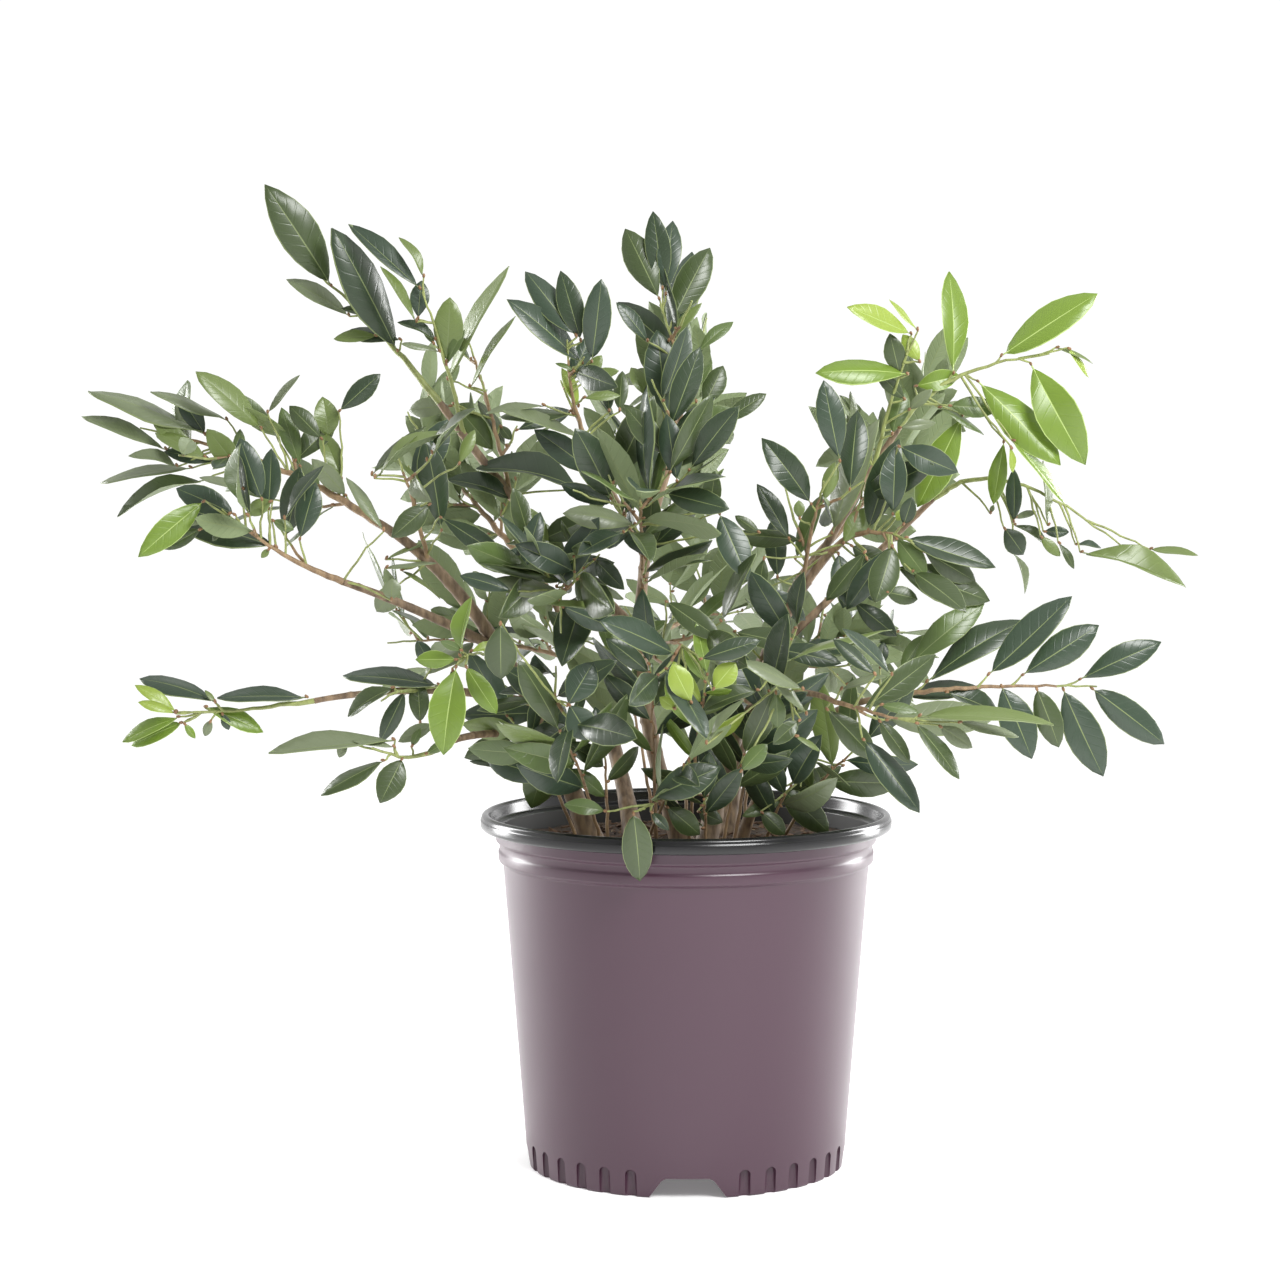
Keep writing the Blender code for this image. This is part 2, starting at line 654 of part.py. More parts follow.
def keep_one_body(obj):
    """Drops hollows that fusing sealed and scraps that it left loose, and says how many."""
    bm = bmesh.new()
    bm.from_mesh(obj.data)
    waiting, bodies = set(bm.verts), []
    while waiting:
        body, edge = set(), [waiting.pop()]
        while edge:
            vert = edge.pop()
            body.add(vert)
            near = {link.other_vert(vert) for link in vert.link_edges} & waiting
            waiting -= near
            edge += near
        bodies.append(body)
    main_body = max(bodies, key=len)
    spare = [vert for body in bodies if body is not main_body for vert in body]
    bmesh.ops.delete(bm, geom=spare, context="VERTS")
    bm.to_mesh(obj.data)
    bm.free()
    return len(bodies) - 1


def make_mass(mass, leader, space, guards, profiles, home, scraps):
    """Twigs by the rule, leaves fused to them, and the stem hollowed to fit the limb's side."""
    rng = random.Random(mass.seed)
    twigs = grow_twigs(mass, leader, space, rng)
    leaves = grow_leaves(mass, [leader] + twigs, space, rng)
    foot_radius = LEADER_RADIUS if mass.share == 1 else SIDE_LEADER_RADIUS
    shares = [i / (len(leader) - 1) for i in range(len(leader))]
    radii = [foot_radius + (TWIG_TIP_RADIUS - foot_radius) * share for share in shares]
    stem = sweep(mass.name, leader, radii, profiles["twig"], home)
    if mass.share < 1:
        add_boolean(stem, "joint", "DIFFERENCE", guards[mass.limb])
        stem = made_plain(stem, home)
    for path in twigs:
        sweep("twig", path, TWIG_RADII, profiles["twig"], scraps)
    for leaf in leaves:
        make_blade(leaf, scraps)
    fuse = add_boolean(stem, "fuse", "UNION", scraps)
    fuse.solver = "MANIFOLD"
    stem = made_plain(stem, home)
    for scrap in list(scraps.objects):
        bpy.data.objects.remove(scrap, do_unlink=True)
    dropped = keep_one_body(stem)
    print(f"{mass.name}: {len(twigs)} twigs, {len(leaves)} leaves, {dropped} hollows and scraps dropped")
    return stem


def tint_of(mass, number):
    """The mass's own green, a little lighter or darker than its tint."""
    shade = 0.9 + 0.2 * random.Random(number).random()
    return tuple(channel * shade for channel in TINTS[mass.tint])


def main():
    clear_scene()
    home = collection("potted_distylium")
    foot_cutters = collection("foot_cutters")
    guides = collection("guides")
    scraps = collection("scraps")
    profiles = {"stem": section(STEM_SIDES), "twig": section(TWIG_SIDES)}
    paths, radii, guards = {}, {}, {"ground": make_ground_cutter(guides)}
    for limb in LIMBS:
        paths[limb.name] = limb_path(limb, paths)
        radii[limb.name] = limb_radii(limb, paths[limb.name])
    parents = {limb.parent for limb in LIMBS} | {mass.limb for mass in MASSES if mass.share < 1}
    for name in sorted(parents - {None}):
        wide = [radius + GAP / math.cos(math.pi / STEM_SIDES) for radius in radii[name]]
        guards[name] = sweep("clear_" + name, paths[name], wide, profiles["stem"], guides)
    for limb in LIMBS:
        made = make_limb(limb, paths[limb.name], radii[limb.name], guards, profiles["stem"], home)
        made.data.materials.append(material("bark_" + limb.name, BARK, 0.7))

    leaders = {mass.name: leader_path(mass, paths) for mass in MASSES}
    space = Space(leaders, [(paths[limb.name], radii[limb.name]) for limb in LIMBS])
    for number, mass in enumerate(MASSES):
        made = make_mass(mass, leaders[mass.name], space, guards, profiles, home, scraps)
        made.data.materials.clear()
        made.data.materials.append(material("green_" + mass.name, tint_of(mass, number), 0.4))
    for guide in list(guides.objects):
        bpy.data.objects.remove(guide, do_unlink=True)
    for profile in profiles.values():
        bpy.data.objects.remove(profile, do_unlink=True)
    for spare in (guides, scraps):
        bpy.data.collections.remove(spare)
    make_pot(home, foot_cutters)
    make_soil(home)


main()
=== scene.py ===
# %% [markdown]
# # A young evergreen shrub in a nursery pot
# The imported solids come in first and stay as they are. Everything made below is dressed over
# them, in metres and in the same frame: the origin is under the pot, and the front is -Y.

# %% Load the frame and measure its box
import json
import math
import random
from collections import namedtuple

import bmesh
import bpy
import numpy as np
from mathutils import Matrix, Vector, noise

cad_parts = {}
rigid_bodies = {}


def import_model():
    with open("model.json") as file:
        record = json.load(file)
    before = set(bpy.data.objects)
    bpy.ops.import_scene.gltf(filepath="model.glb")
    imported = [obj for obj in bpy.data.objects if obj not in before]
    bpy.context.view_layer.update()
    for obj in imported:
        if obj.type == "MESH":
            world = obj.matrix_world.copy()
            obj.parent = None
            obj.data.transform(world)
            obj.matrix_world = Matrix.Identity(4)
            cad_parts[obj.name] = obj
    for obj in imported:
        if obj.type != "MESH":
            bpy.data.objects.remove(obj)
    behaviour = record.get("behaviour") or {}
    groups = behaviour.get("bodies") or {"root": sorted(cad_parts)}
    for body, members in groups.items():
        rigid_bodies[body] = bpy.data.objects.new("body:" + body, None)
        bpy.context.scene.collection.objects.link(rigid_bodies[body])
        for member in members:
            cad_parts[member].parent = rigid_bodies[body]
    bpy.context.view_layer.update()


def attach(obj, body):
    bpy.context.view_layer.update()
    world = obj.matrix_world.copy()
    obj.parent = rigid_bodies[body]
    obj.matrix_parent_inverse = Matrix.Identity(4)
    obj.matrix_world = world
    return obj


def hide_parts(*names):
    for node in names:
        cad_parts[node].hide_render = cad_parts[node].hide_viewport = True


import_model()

# %% [markdown]
# ## The camera
# A long lens from two metres away keeps the pot's sides almost straight. The camera looks
# a little downwards, so that the soil shows behind the front of the rim.

# %% Camera
LENS = 88.085
CAMERA_PLACE = (-0.0313, 0.5149)
CAMERA_DISTANCE = 2.1218
CAMERA_TILT = 4.222
camera = bpy.data.objects.new("camera", bpy.data.cameras.new("camera"))
bpy.context.scene.collection.objects.link(camera)
camera.data.sensor_width = 36
camera.data.lens = LENS
camera.location = (CAMERA_PLACE[0], -CAMERA_DISTANCE, CAMERA_PLACE[1])
camera.rotation_euler = (math.radians(90 - CAMERA_TILT), 0, 0)
bpy.context.scene.camera = camera
bpy.context.scene.view_settings.view_transform = "Standard"
print("lens", camera.data.lens, "mm, from", tuple(camera.location))

# %% [markdown]
# ## The plan of the plant
# Five stems rise from the soil and fork into boughs. The rows are the source's: where a limb starts,
# a place that it passes and where it ends, or for a bough its parent and the share of the way along
# it. A quadratic curve through three places is enough for a young stem, because it bends once and
# tapers. A skeleton drawn by hand would give more freedom, but it wouldn't match the solids.

# %% The limbs
SOIL_HEIGHT = 0.220
POT_HEIGHT = 0.241
RIM_RADIUS = 0.140
Limb = namedtuple("Limb", "name parent share foot through tip foot_radius tip_radius")
LIMBS = [
    Limb("stem_left", None, 0, (-0.062, -0.030),
         (-0.128, -0.025, 0.358), (-0.206, -0.020, 0.438), 0.0068, 0.0030),
    Limb("bough_left", "stem_left", 0.48, None,
         (-0.181, -0.045, 0.382), (-0.227, -0.060, 0.401), 0.0036, 0.0024),
    Limb("bough_low_left", "stem_left", 0.33, None,
         (-0.171, -0.045, 0.328), (-0.247, -0.055, 0.322), 0.0034, 0.0019),
    Limb("bough_lowest_left", "stem_left", 0.25, None,
         (-0.137, -0.090, 0.303), (-0.162, -0.115, 0.296), 0.0030, 0.0019),
    Limb("stem_centre", None, 0, (-0.002, -0.018),
         (-0.031, 0.000, 0.356), (-0.009, 0.015, 0.482), 0.0064, 0.0026),
    Limb("bough_centre_left", "stem_centre", 0.72, None,
         (-0.045, -0.015, 0.449), (-0.064, -0.030, 0.487), 0.0028, 0.0019),
    Limb("bough_upper_left", "stem_centre", 0.52, None,
         (-0.104, 0.025, 0.437), (-0.169, 0.040, 0.519), 0.0044, 0.0026),
    Limb("stem_right", None, 0, (0.012, -0.042),
         (0.050, -0.020, 0.341), (0.096, -0.035, 0.420), 0.0062, 0.0028),
    Limb("bough_right_upper", "stem_right", 0.70, None,
         (0.105, -0.003, 0.440), (0.145, 0.010, 0.503), 0.0032, 0.0022),
    Limb("bough_right_low", None, 0, (0.038, 0.008),
         (0.074, -0.020, 0.292), (0.128, -0.060, 0.324), 0.0036, 0.0020),
    Limb("bough_right_front", "stem_right", 0.36, None,
         (0.067, -0.080, 0.329), (0.091, -0.125, 0.329), 0.0028, 0.0018),
    Limb("stem_back_right", None, 0, (0.030, 0.046),
         (0.058, 0.090, 0.345), (0.110, 0.130, 0.425), 0.0056, 0.0026),
    Limb("bough_right_far", "stem_back_right", 0.45, None,
         (0.128, 0.092, 0.405), (0.175, 0.080, 0.452), 0.0030, 0.0020),
    Limb("stem_back_left", None, 0, (-0.036, 0.042),
         (-0.070, 0.100, 0.335), (-0.120, 0.150, 0.410), 0.0058, 0.0026),
    Limb("bough_back_low", "stem_back_left", 0.40, None,
         (-0.045, 0.130, 0.335), (-0.015, 0.165, 0.352), 0.0028, 0.0019),
]

# %% [markdown]
# ## The masses of leaves
# A mass is one stem of its own with side twigs and leaves. Each row names its limb and the share
# along it, where its own stem ends, the length of its side twigs and of its leaves, the compass
# angle and the tilt that it faces, its tint, and the seed of its draws. A list like this keeps the
# crown's outline in plain sight, where a random tree generator would hide it.

# %% The masses of leaves
Mass = namedtuple("Mass", "name limb share tip twigs leaf faces tilt tint seed")
MASSES = [
    Mass("leaves_upper_left", "bough_upper_left", 1, (-0.257, 0.055, 0.611),
         0.0, 0.078, -90, 10, "dark", 45),
    Mass("leaves_upper_inner", "bough_upper_left", 0.86, (-0.179, 0.015, 0.594),
         0.020, 0.046, -90, 30, "mid", 71),
    Mass("leaves_upper_mid", "bough_upper_left", 0.62, (-0.152, 0.070, 0.565),
         0.040, 0.042, -60, 60, "pale", 15),
    Mass("leaves_left_top", "stem_left", 1, (-0.370, 0.005, 0.502),
         0.062, 0.050, -110, 50, "mid", 106),
    Mass("leaves_left_inner", "stem_left", 0.80, (-0.189, -0.085, 0.485),
         0.055, 0.048, -100, 55, "dark", 28),
    Mass("leaves_left", "bough_left", 1, (-0.302, -0.095, 0.450),
         0.050, 0.055, -110, 35, "dark", 115),
    Mass("leaves_low_left", "bough_low_left", 1, (-0.326, -0.060, 0.314),
         0.0, 0.046, -100, 60, "mid", 67),
    Mass("leaves_low_left_inner", "bough_low_left", 0.55, (-0.199, -0.100, 0.326),
         0.024, 0.042, -100, 40, "dark", 75),
    Mass("leaves_lowest_left", "bough_lowest_left", 1, (-0.202, -0.140, 0.300),
         0.022, 0.048, -90, 30, "dark", 127),
    Mass("leaves_lime_left", "stem_left", 0.42, (-0.143, -0.135, 0.358),
         0.0, 0.064, -80, 10, "lime", 96),
    Mass("leaves_centre_left", "bough_centre_left", 1, (-0.079, -0.060, 0.560),
         0.036, 0.054, -95, 20, "dark", 24),
    Mass("leaves_centre_top", "stem_centre", 1, (-0.018, 0.000, 0.585),
         0.055, 0.060, -85, 20, "dark", 41),
    Mass("leaves_centre_front", "stem_centre", 0.64, (-0.031, -0.145, 0.458),
         0.060, 0.066, -90, 20, "dark", 107),
    Mass("leaves_centre_low", "bough_upper_left", 0.30, (-0.083, -0.125, 0.392),
         0.050, 0.062, -90, 30, "dark", 114),
    Mass("leaves_front_mid", "stem_centre", 0.46, (0.000, -0.165, 0.364),
         0.060, 0.062, -90, 30, "dark", 95),
    Mass("leaves_front_left", "stem_left", 0.24, (-0.082, -0.150, 0.331),
         0.050, 0.062, -95, 20, "dark", 49),
    Mass("leaves_front_low", "stem_right", 0.13, (-0.031, -0.135, 0.259),
         0.020, 0.046, -90, 20, "dark", 127),
    Mass("leaves_front_right", "stem_right", 0.52, (0.064, -0.140, 0.336),
         0.050, 0.060, -85, 30, "dark", 128),
    Mass("leaves_right_inner", "stem_right", 0.80, (0.088, -0.085, 0.468),
         0.055, 0.068, -85, 15, "dark", 27),
    Mass("leaves_right_mid", "stem_right", 1, (0.146, -0.080, 0.429),
         0.050, 0.070, -80, 20, "dark", 120),
    Mass("leaves_right_upper", "bough_right_upper", 1, (0.245, 0.000, 0.552),
         0.026, 0.070, -85, 15, "lime", 124),
    Mass("leaves_right_inner_top", "bough_right_upper", 0.78, (0.148, -0.020, 0.554),
         0.030, 0.054, -90, 25, "lime", 8),
    Mass("leaves_right_far", "bough_right_far", 1, (0.306, 0.060, 0.418),
         0.0, 0.056, -85, 35, "mid", 46),
    Mass("leaves_right_low", "bough_right_low", 1, (0.272, -0.050, 0.331),
         0.0, 0.066, -90, 15, "dark", 28),
    Mass("leaves_right_low_inner", "bough_right_low", 0.55, (0.075, -0.060, 0.265),
         0.030, 0.048, -80, 25, "dark", 107),
    Mass("leaves_right_front", "bough_right_front", 1, (0.141, -0.180, 0.320),
         0.026, 0.064, -85, 30, "dark", 24),
    Mass("leaves_back_right", "stem_back_right", 1, (0.170, 0.215, 0.515),
         0.060, 0.060, 60, 35, "dark", 26),
    Mass("leaves_back_right_low", "stem_back_right", 0.42, (0.165, 0.190, 0.350),
         0.055, 0.060, 40, 35, "dark", 23),
    Mass("leaves_back_centre", "stem_centre", 0.86, (0.015, 0.150, 0.560),
         0.060, 0.060, 90, 35, "dark", 97),
    Mass("leaves_back_left", "stem_back_left", 1, (-0.200, 0.235, 0.500),
         0.060, 0.060, 120, 35, "dark", 120),
    Mass("leaves_back_left_low", "stem_back_left", 0.50, (-0.215, 0.150, 0.345),
         0.055, 0.058, 150, 40, "mid", 66),
    Mass("leaves_back_low", "bough_back_low", 1, (0.020, 0.270, 0.365),
         0.055, 0.060, 90, 35, "dark", 64),
]
print(len(LIMBS), "limbs and", len(MASSES), "masses")

# %% [markdown]
# ## Paths
# A path is a list of points, so that the same helpers serve the space test, the growth and the
# skins. Every limb and shoot is a quadratic curve, cut into as many straight pieces as it needs.

# %% Helpers for paths
def bend(start, control, end, pieces):
    """Points of a curve that leaves start towards the control point and runs in to the end."""
    shares = [i / pieces for i in range(pieces + 1)]
    return [start * (1 - t) ** 2 + control * (2 * t * (1 - t)) + end * t ** 2 for t in shares]


def on_path(path, share):
    """The point and the direction at a share of the way along a path's pieces."""
    place = min(max(share, 0), 1) * (len(path) - 1)
    piece = min(int(place), len(path) - 2)
    point = path[piece].lerp(path[piece + 1], place - piece)
    return point, (path[piece + 1] - path[piece]).normalized()


def path_length(path):
    return sum((b - a).length for a, b in zip(path, path[1:]))


# %% [markdown]
# ## Curves of the limbs
# A mass's own stem, its leader, carries on in line from a bough's tip, or branches off the side of a
# limb and arches. The coarse paths here are those of the solids, and the crown is tested against
# them. The skins are made along finer ones later.

# %% Limbs and leaders
GAP = 0.0003
STEM_PIECES = 8
BOUGH_PIECES = 5
LEADER_PIECES = 5
LEADER_RUN = 0.45
LEADER_RISE = 0.10


def limb_path(limb, paths, pieces):
    if limb.parent:
        start, _ = on_path(paths[limb.parent], limb.share)
    else:
        start = Vector((*limb.foot, SOIL_HEIGHT + GAP))
    through, tip = Vector(limb.through), Vector(limb.tip)
    return bend(start, 2 * through - (start + tip) / 2, tip, pieces)


def leader_path(mass, paths, pieces):
    """The stem inside a mass. At a limb's tip it carries on in line, and elsewhere it branches off."""
    tip = Vector(mass.tip)
    start, direction = on_path(paths[mass.limb], mass.share)
    reach = (tip - start).length
    if mass.share == 1:
        control = start + direction * reach * LEADER_RUN
    else:
        control = (start + tip) / 2 + Vector((0, 0, reach * LEADER_RISE))
    return bend(start, control, tip, pieces)


coarse = {}
for limb in LIMBS:
    coarse[limb.name] = limb_path(limb, coarse, BOUGH_PIECES if limb.parent else STEM_PIECES)
leaders = {mass.name: leader_path(mass, coarse, LEADER_PIECES) for mass in MASSES}
lengths = {limb.name: round(path_length(coarse[limb.name]), 3) for limb in LIMBS}
print("limbs in metres", lengths)

# %% [markdown]
# ## Windows in the crown
# The photograph looks through the crown in some places. A denser or thinner crown would miss them,
# so each one is listed as an ellipse in the upright plane through the pot's axis: its middle, to the
# right and up, and its two half sizes, in metres. The rules of growth leave them empty.

# %% Open windows
WINDOWS = [
    (-0.405, 0.488, 0.042, 0.016), (-0.378, 0.515, 0.016, 0.008), (-0.359, 0.455, 0.016, 0.008),
    (-0.329, 0.412, 0.042, 0.016), (-0.313, 0.396, 0.031, 0.031), (-0.291, 0.392, 0.042, 0.023),
    (-0.289, 0.621, 0.016, 0.042), (-0.284, 0.561, 0.011, 0.042), (-0.255, 0.552, 0.023, 0.031),
    (-0.249, 0.304, 0.042, 0.012), (-0.231, 0.600, 0.008, 0.012), (-0.226, 0.360, 0.031, 0.016),
    (-0.205, 0.513, 0.016, 0.023), (-0.199, 0.458, 0.012, 0.016), (-0.196, 0.352, 0.012, 0.008),
    (-0.196, 0.528, 0.016, 0.012), (-0.180, 0.388, 0.008, 0.008), (-0.139, 0.570, 0.008, 0.031),
    (-0.137, 0.582, 0.011, 0.016), (-0.128, 0.589, 0.008, 0.016), (-0.102, 0.540, 0.016, 0.023),
    (-0.094, 0.453, 0.012, 0.008), (-0.044, 0.556, 0.012, 0.016), (-0.039, 0.412, 0.008, 0.008),
    (0.012, 0.654, 0.023, 0.031), (0.040, 0.452, 0.016, 0.008), (0.041, 0.481, 0.012, 0.031),
    (0.056, 0.570, 0.042, 0.042), (0.069, 0.515, 0.016, 0.023), (0.111, 0.559, 0.023, 0.012),
    (0.125, 0.521, 0.008, 0.011), (0.145, 0.591, 0.023, 0.012), (0.152, 0.371, 0.012, 0.008),
    (0.163, 0.380, 0.008, 0.008), (0.173, 0.439, 0.023, 0.012), (0.193, 0.479, 0.008, 0.023),
    (0.201, 0.586, 0.012, 0.042), (0.219, 0.538, 0.016, 0.008), (0.292, 0.444, 0.042, 0.016),
    (0.302, 0.561, 0.042, 0.016),
]


def through_window(points):
    """Whether any point would be seen in one of the crown's open windows."""
    nearer = CAMERA_DISTANCE / (CAMERA_DISTANCE + points[:, 1])
    x = CAMERA_PLACE[0] + (points[:, 0] - CAMERA_PLACE[0]) * nearer
    z = CAMERA_PLACE[1] + (points[:, 2] - CAMERA_PLACE[1]) * nearer
    for middle_x, middle_z, wide, high in WINDOWS:
        if (((x - middle_x) / wide) ** 2 + ((z - middle_z) / high) ** 2 < 1).any():
            return True
    return False


print(len(WINDOWS), "open windows")

# %% [markdown]
# ## The space that each mass keeps to
# Twigs of neighbouring masses would cross and muddle if nothing kept them apart. Each point of the
# crown belongs to the mass whose leader is nearest, and a twig or leaf that would leave its space,
# touch a limb or dip into the pot is skipped. Tests on whole meshes would be exact but slow, and
# distances to a few straight pieces do as well. It is the source's rule, so the crown keeps its gaps.

# %% Own space
LEAF_CLEARANCE = 0.0010
POT_CLEARANCE = 0.002
FLARE = 0.45
FLARE_HEIGHT = 0.018


def limb_radii(limb, path):
    """Tapering along the limb, with a flare at the foot of a stem."""
    radii = []
    for i, point in enumerate(path):
        share = i / (len(path) - 1)
        radius = limb.foot_radius + (limb.tip_radius - limb.foot_radius) * share
        if not limb.parent:
            radius *= 1 + FLARE * math.exp(-max(point.z - SOIL_HEIGHT, 0) / FLARE_HEIGHT)
        radii.append(radius)
    return radii


class Space:
    """Which mass each point of the crown belongs to, and where the limbs run."""

    def __init__(self, leaders, limbs):
        starts, ends, owners = [], [], []
        for name, path in leaders.items():
            starts += path[:-1]
            ends += path[1:]
            owners += [name] * (len(path) - 1)
        self.leaders = (np.array(starts), np.array(ends))
        self.owners = np.array(owners)
        starts, ends, radii = [], [], []
        for path, widths in limbs:
            starts += path[:-1]
            ends += path[1:]
            radii += widths[:-1]
        self.limbs = (np.array(starts), np.array(ends))
        self.limb_radii = np.array(radii)

    @staticmethod
    def distances(points, segments):
        """How far each point is from each straight piece."""
        start, end = segments
        run = end - start
        offset = points[:, None, :] - start[None, :, :]
        share = np.clip((offset * run).sum(axis=2) / (run * run).sum(axis=1), 0, 1)
        return np.linalg.norm(offset - share[:, :, None] * run, axis=2)

    def holds(self, name, points, slack=0.0):
        """Whether points stay in the named mass's space, out of the windows, and off limbs and pot."""
        points = np.array(points)
        mine = self.owners == name
        if mine.any():
            far = self.distances(points, self.leaders)
            if (far[:, mine].min(axis=1) > far[:, ~mine].min(axis=1) + slack).any():
                return False
            if through_window(points):
                return False
        clear = self.distances(points, self.limbs) - self.limb_radii
        low = points[:, 2] < POT_HEIGHT + POT_CLEARANCE
        near = np.hypot(points[:, 0], points[:, 1]) < RIM_RADIUS + POT_CLEARANCE
        return clear.min() > LEAF_CLEARANCE and not (low & near).any()


space = Space(leaders, [(coarse[limb.name], limb_radii(limb, coarse[limb.name])) for limb in LIMBS])
print(len(space.owners), "pieces of leaders and", len(space.limb_radii), "pieces of limbs")

# %% [markdown]
# ## Side twigs
# Real side twigs turn round their stem by about the golden angle, so that none shades the next, and
# they get shorter towards its tip. Each sets off at about 50 degrees and bends up to the light. Where
# a twig would leave its mass's space, a shorter one is tried. The same draws as in the source give
# the same main twigs.

# %% Grow side twigs
TWIG_STEP = 0.040
TWIG_ANGLE = math.radians(50)
TWIG_SHORTENING = 0.55
TWIG_RISE = 0.22
TWIG_LENGTHS = (0.85, 1.15)
TWIG_CUTS = (1, 0.8, 0.6, 0.4)
TWIG_PIECES = 4
FIRST_TWIG = 0.7
TWIG_MARGIN = 0.4
SHORTEST_TWIG = 0.016
GOLDEN_ANGLE = math.radians(137.5)
TESTED_PIECES = 6
UNTESTED_POINTS = 2


def across(direction, facing):
    """The side and the face of a shoot that runs along direction and shows its face to facing."""
    face = (facing - direction * facing.dot(direction)).normalized()
    return direction.cross(face), face


def facing_of(mass):
    angle, tilt = math.radians(mass.faces), math.radians(mass.tilt)
    level = math.cos(tilt)
    return Vector((math.cos(angle) * level, math.sin(angle) * level, math.sin(tilt)))


def rising(root, way, length):
    """The three points of a twig that sets off along way and bends up."""
    tip = root + (way + Vector((0, 0, TWIG_RISE))).normalized() * length
    return root, root + way * length * 0.5, tip


def has_room(mass, twig, space):
    """Whether a twig keeps to its mass's space. Its foot is left out, because it touches its stem."""
    return space.holds(mass.name, bend(*twig, TESTED_PIECES)[UNTESTED_POINTS:])


def grow_twigs(mass, leader, space, rng):
    """Side twigs that turn by the golden angle and shorten towards the tip."""
    twigs = []
    facing = facing_of(mass)
    count = round(path_length(leader) / TWIG_STEP) if mass.twigs else 0
    roll = rng.uniform(0, 2 * math.pi)
    for i in range(count):
        share = (i + FIRST_TWIG) / (count + TWIG_MARGIN)
        root, direction = on_path(leader, share)
        side, face = across(direction, facing)
        turn = roll + i * GOLDEN_ANGLE
        out = side * math.cos(turn) + face * math.sin(turn)
        way = (direction * math.cos(TWIG_ANGLE) + out * math.sin(TWIG_ANGLE)).normalized()
        full = mass.twigs * (1 - TWIG_SHORTENING * share) * rng.uniform(*TWIG_LENGTHS)
        for cut in TWIG_CUTS:
            length = full * cut
            twig = rising(root, way, length)
            if length > SHORTEST_TWIG and has_room(mass, twig, space):
                twigs.append(bend(*twig, TWIG_PIECES))
                break
    return twigs


# %% [markdown]
# ## Twiglets
# The solids stop at the side twigs. A real shrub forks once more, into short shoots with smaller
# leaves, and those make its crown look full. Here they start at random places and turns, a little
# flattened towards the light, within the same space.

# %% Grow twiglets
TWIGLET_STEP = 0.028
TWIGLET_LENGTH = 0.034
TWIGLET_LENGTHS = (0.6, 1.3)
TWIGLET_ANGLES = (0.7, 1.2)
TWIGLET_FLATNESS = 0.7
TWIGLET_PIECES = 3
TWIGLET_PLACES = (0.4, 1.0)
TWIGLET_MARGIN = 0.5


def grow_twiglets(mass, shoots, space, rng):
    """Finer side shoots with small leaves, on the mass's stem and on its twigs."""
    twiglets = []
    facing = facing_of(mass)
    for path in shoots:
        count = int(path_length(path) / TWIGLET_STEP)
        for i in range(count):
            share = (i + rng.uniform(*TWIGLET_PLACES)) / (count + TWIGLET_MARGIN)
            root, direction = on_path(path, share)
            side, face = across(direction, facing)
            turn = rng.uniform(0, 2 * math.pi)
            out = side * math.cos(turn) + face * TWIGLET_FLATNESS * math.sin(turn)
            angle = TWIG_ANGLE * rng.uniform(*TWIGLET_ANGLES)
            way = (direction * math.cos(angle) + out.normalized() * math.sin(angle)).normalized()
            twig = rising(root, way, TWIGLET_LENGTH * rng.uniform(*TWIGLET_LENGTHS))
            if has_room(mass, twig, space):
                twiglets.append(bend(*twig, TWIGLET_PIECES))
    return twiglets


# %% [markdown]
# ## Room for a leaf
# A leaf is only a few numbers until it is set: its root, two directions, its length and width, its
# shape and its tint. It is tested at eleven points, along its rib and both margins, against its
# mass's space and against the leaves grown so far. That is far quicker than crossing meshes, and it
# keeps nearly all leaves from running through each other.

# %% Leaves as rows
RIB_TESTS = (0.15, 0.4, 0.6, 0.8, 1.0)
MARGIN_TESTS = (0.3, 0.5, 0.72)
LEAF_SPACING = 0.0026
Leaf = namedtuple("Leaf", "root along face length width shape tint")
Shoot = namedtuple("Shoot", "path foot_radius order")


def leaf_points(leaf):
    """Where a leaf is tested: along its rib, and along both margins."""
    side = leaf.along.cross(leaf.face) * leaf.width * 0.5
    points = [leaf.root + leaf.along * leaf.length * share for share in RIB_TESTS]
    for share in MARGIN_TESTS:
        middle = leaf.root + leaf.along * leaf.length * share
        points += [middle + side, middle - side]
    return points


def fits(leaf, mass, space, grown, slack):
    """Whether a leaf keeps to its mass's space and off the leaves grown so far."""
    points = leaf_points(leaf)
    if not space.holds(mass.name, points, slack):
        return False
    if not grown:
        return True
    apart = np.linalg.norm(np.array(points)[:, None, :] - np.array(grown)[None, :, :], axis=2)
    return apart.min() > LEAF_SPACING


# %% [markdown]
# ## Tints by leaf
# Old leaves are a deep blue green, this year's are fresher, and the newest shoots are lime. The sixth
# tint is painted sheen, the pale gloss of a lit leaf put into its colour. On some listed leaves it is
# also the pale of an underside turned to the viewer. Every leaf gets one plain tint from its mass's own
# mixture, so that no pattern has to fall on a leaf's place.

# %% Tints
TINTS = ["deep", "blue", "dark", "mid", "moss", "grey", "lime", "fresh"]
MIXTURES = {
    "dark": (30, 26, 24, 13, 4, 3, 0, 0),
    "mid": (18, 14, 22, 28, 11, 7, 0, 0),
    "pale": (16, 12, 22, 28, 14, 8, 0, 0),
    "lime": (0, 0, 0, 4, 10, 0, 56, 30),
}
OLD_WOOD_SHARE = 0.35


def tint_of(mass, share, rng):
    """A tint by number. On most lime shoots the leaves near the foot are last year's, and dark."""
    old = mass.tint == "lime" and share < OLD_WOOD_SHARE and mass.name != "leaves_lime_left"
    return rng.choices(range(len(TINTS)), MIXTURES["dark" if old else mass.tint])[0]


print(len(TINTS), "tints in", len(MIXTURES), "mixtures")

# %% [markdown]
# ## Alternate leaves
# The leaves stand alternately in two ranks along every shoot, about 50 degrees off it, with one leaf
# at the tip. The longest are in the middle of a shoot. A leaf that doesn't fit is tried again, opened
# wider and a little shorter, as a crowded leaf grows on a real plant.

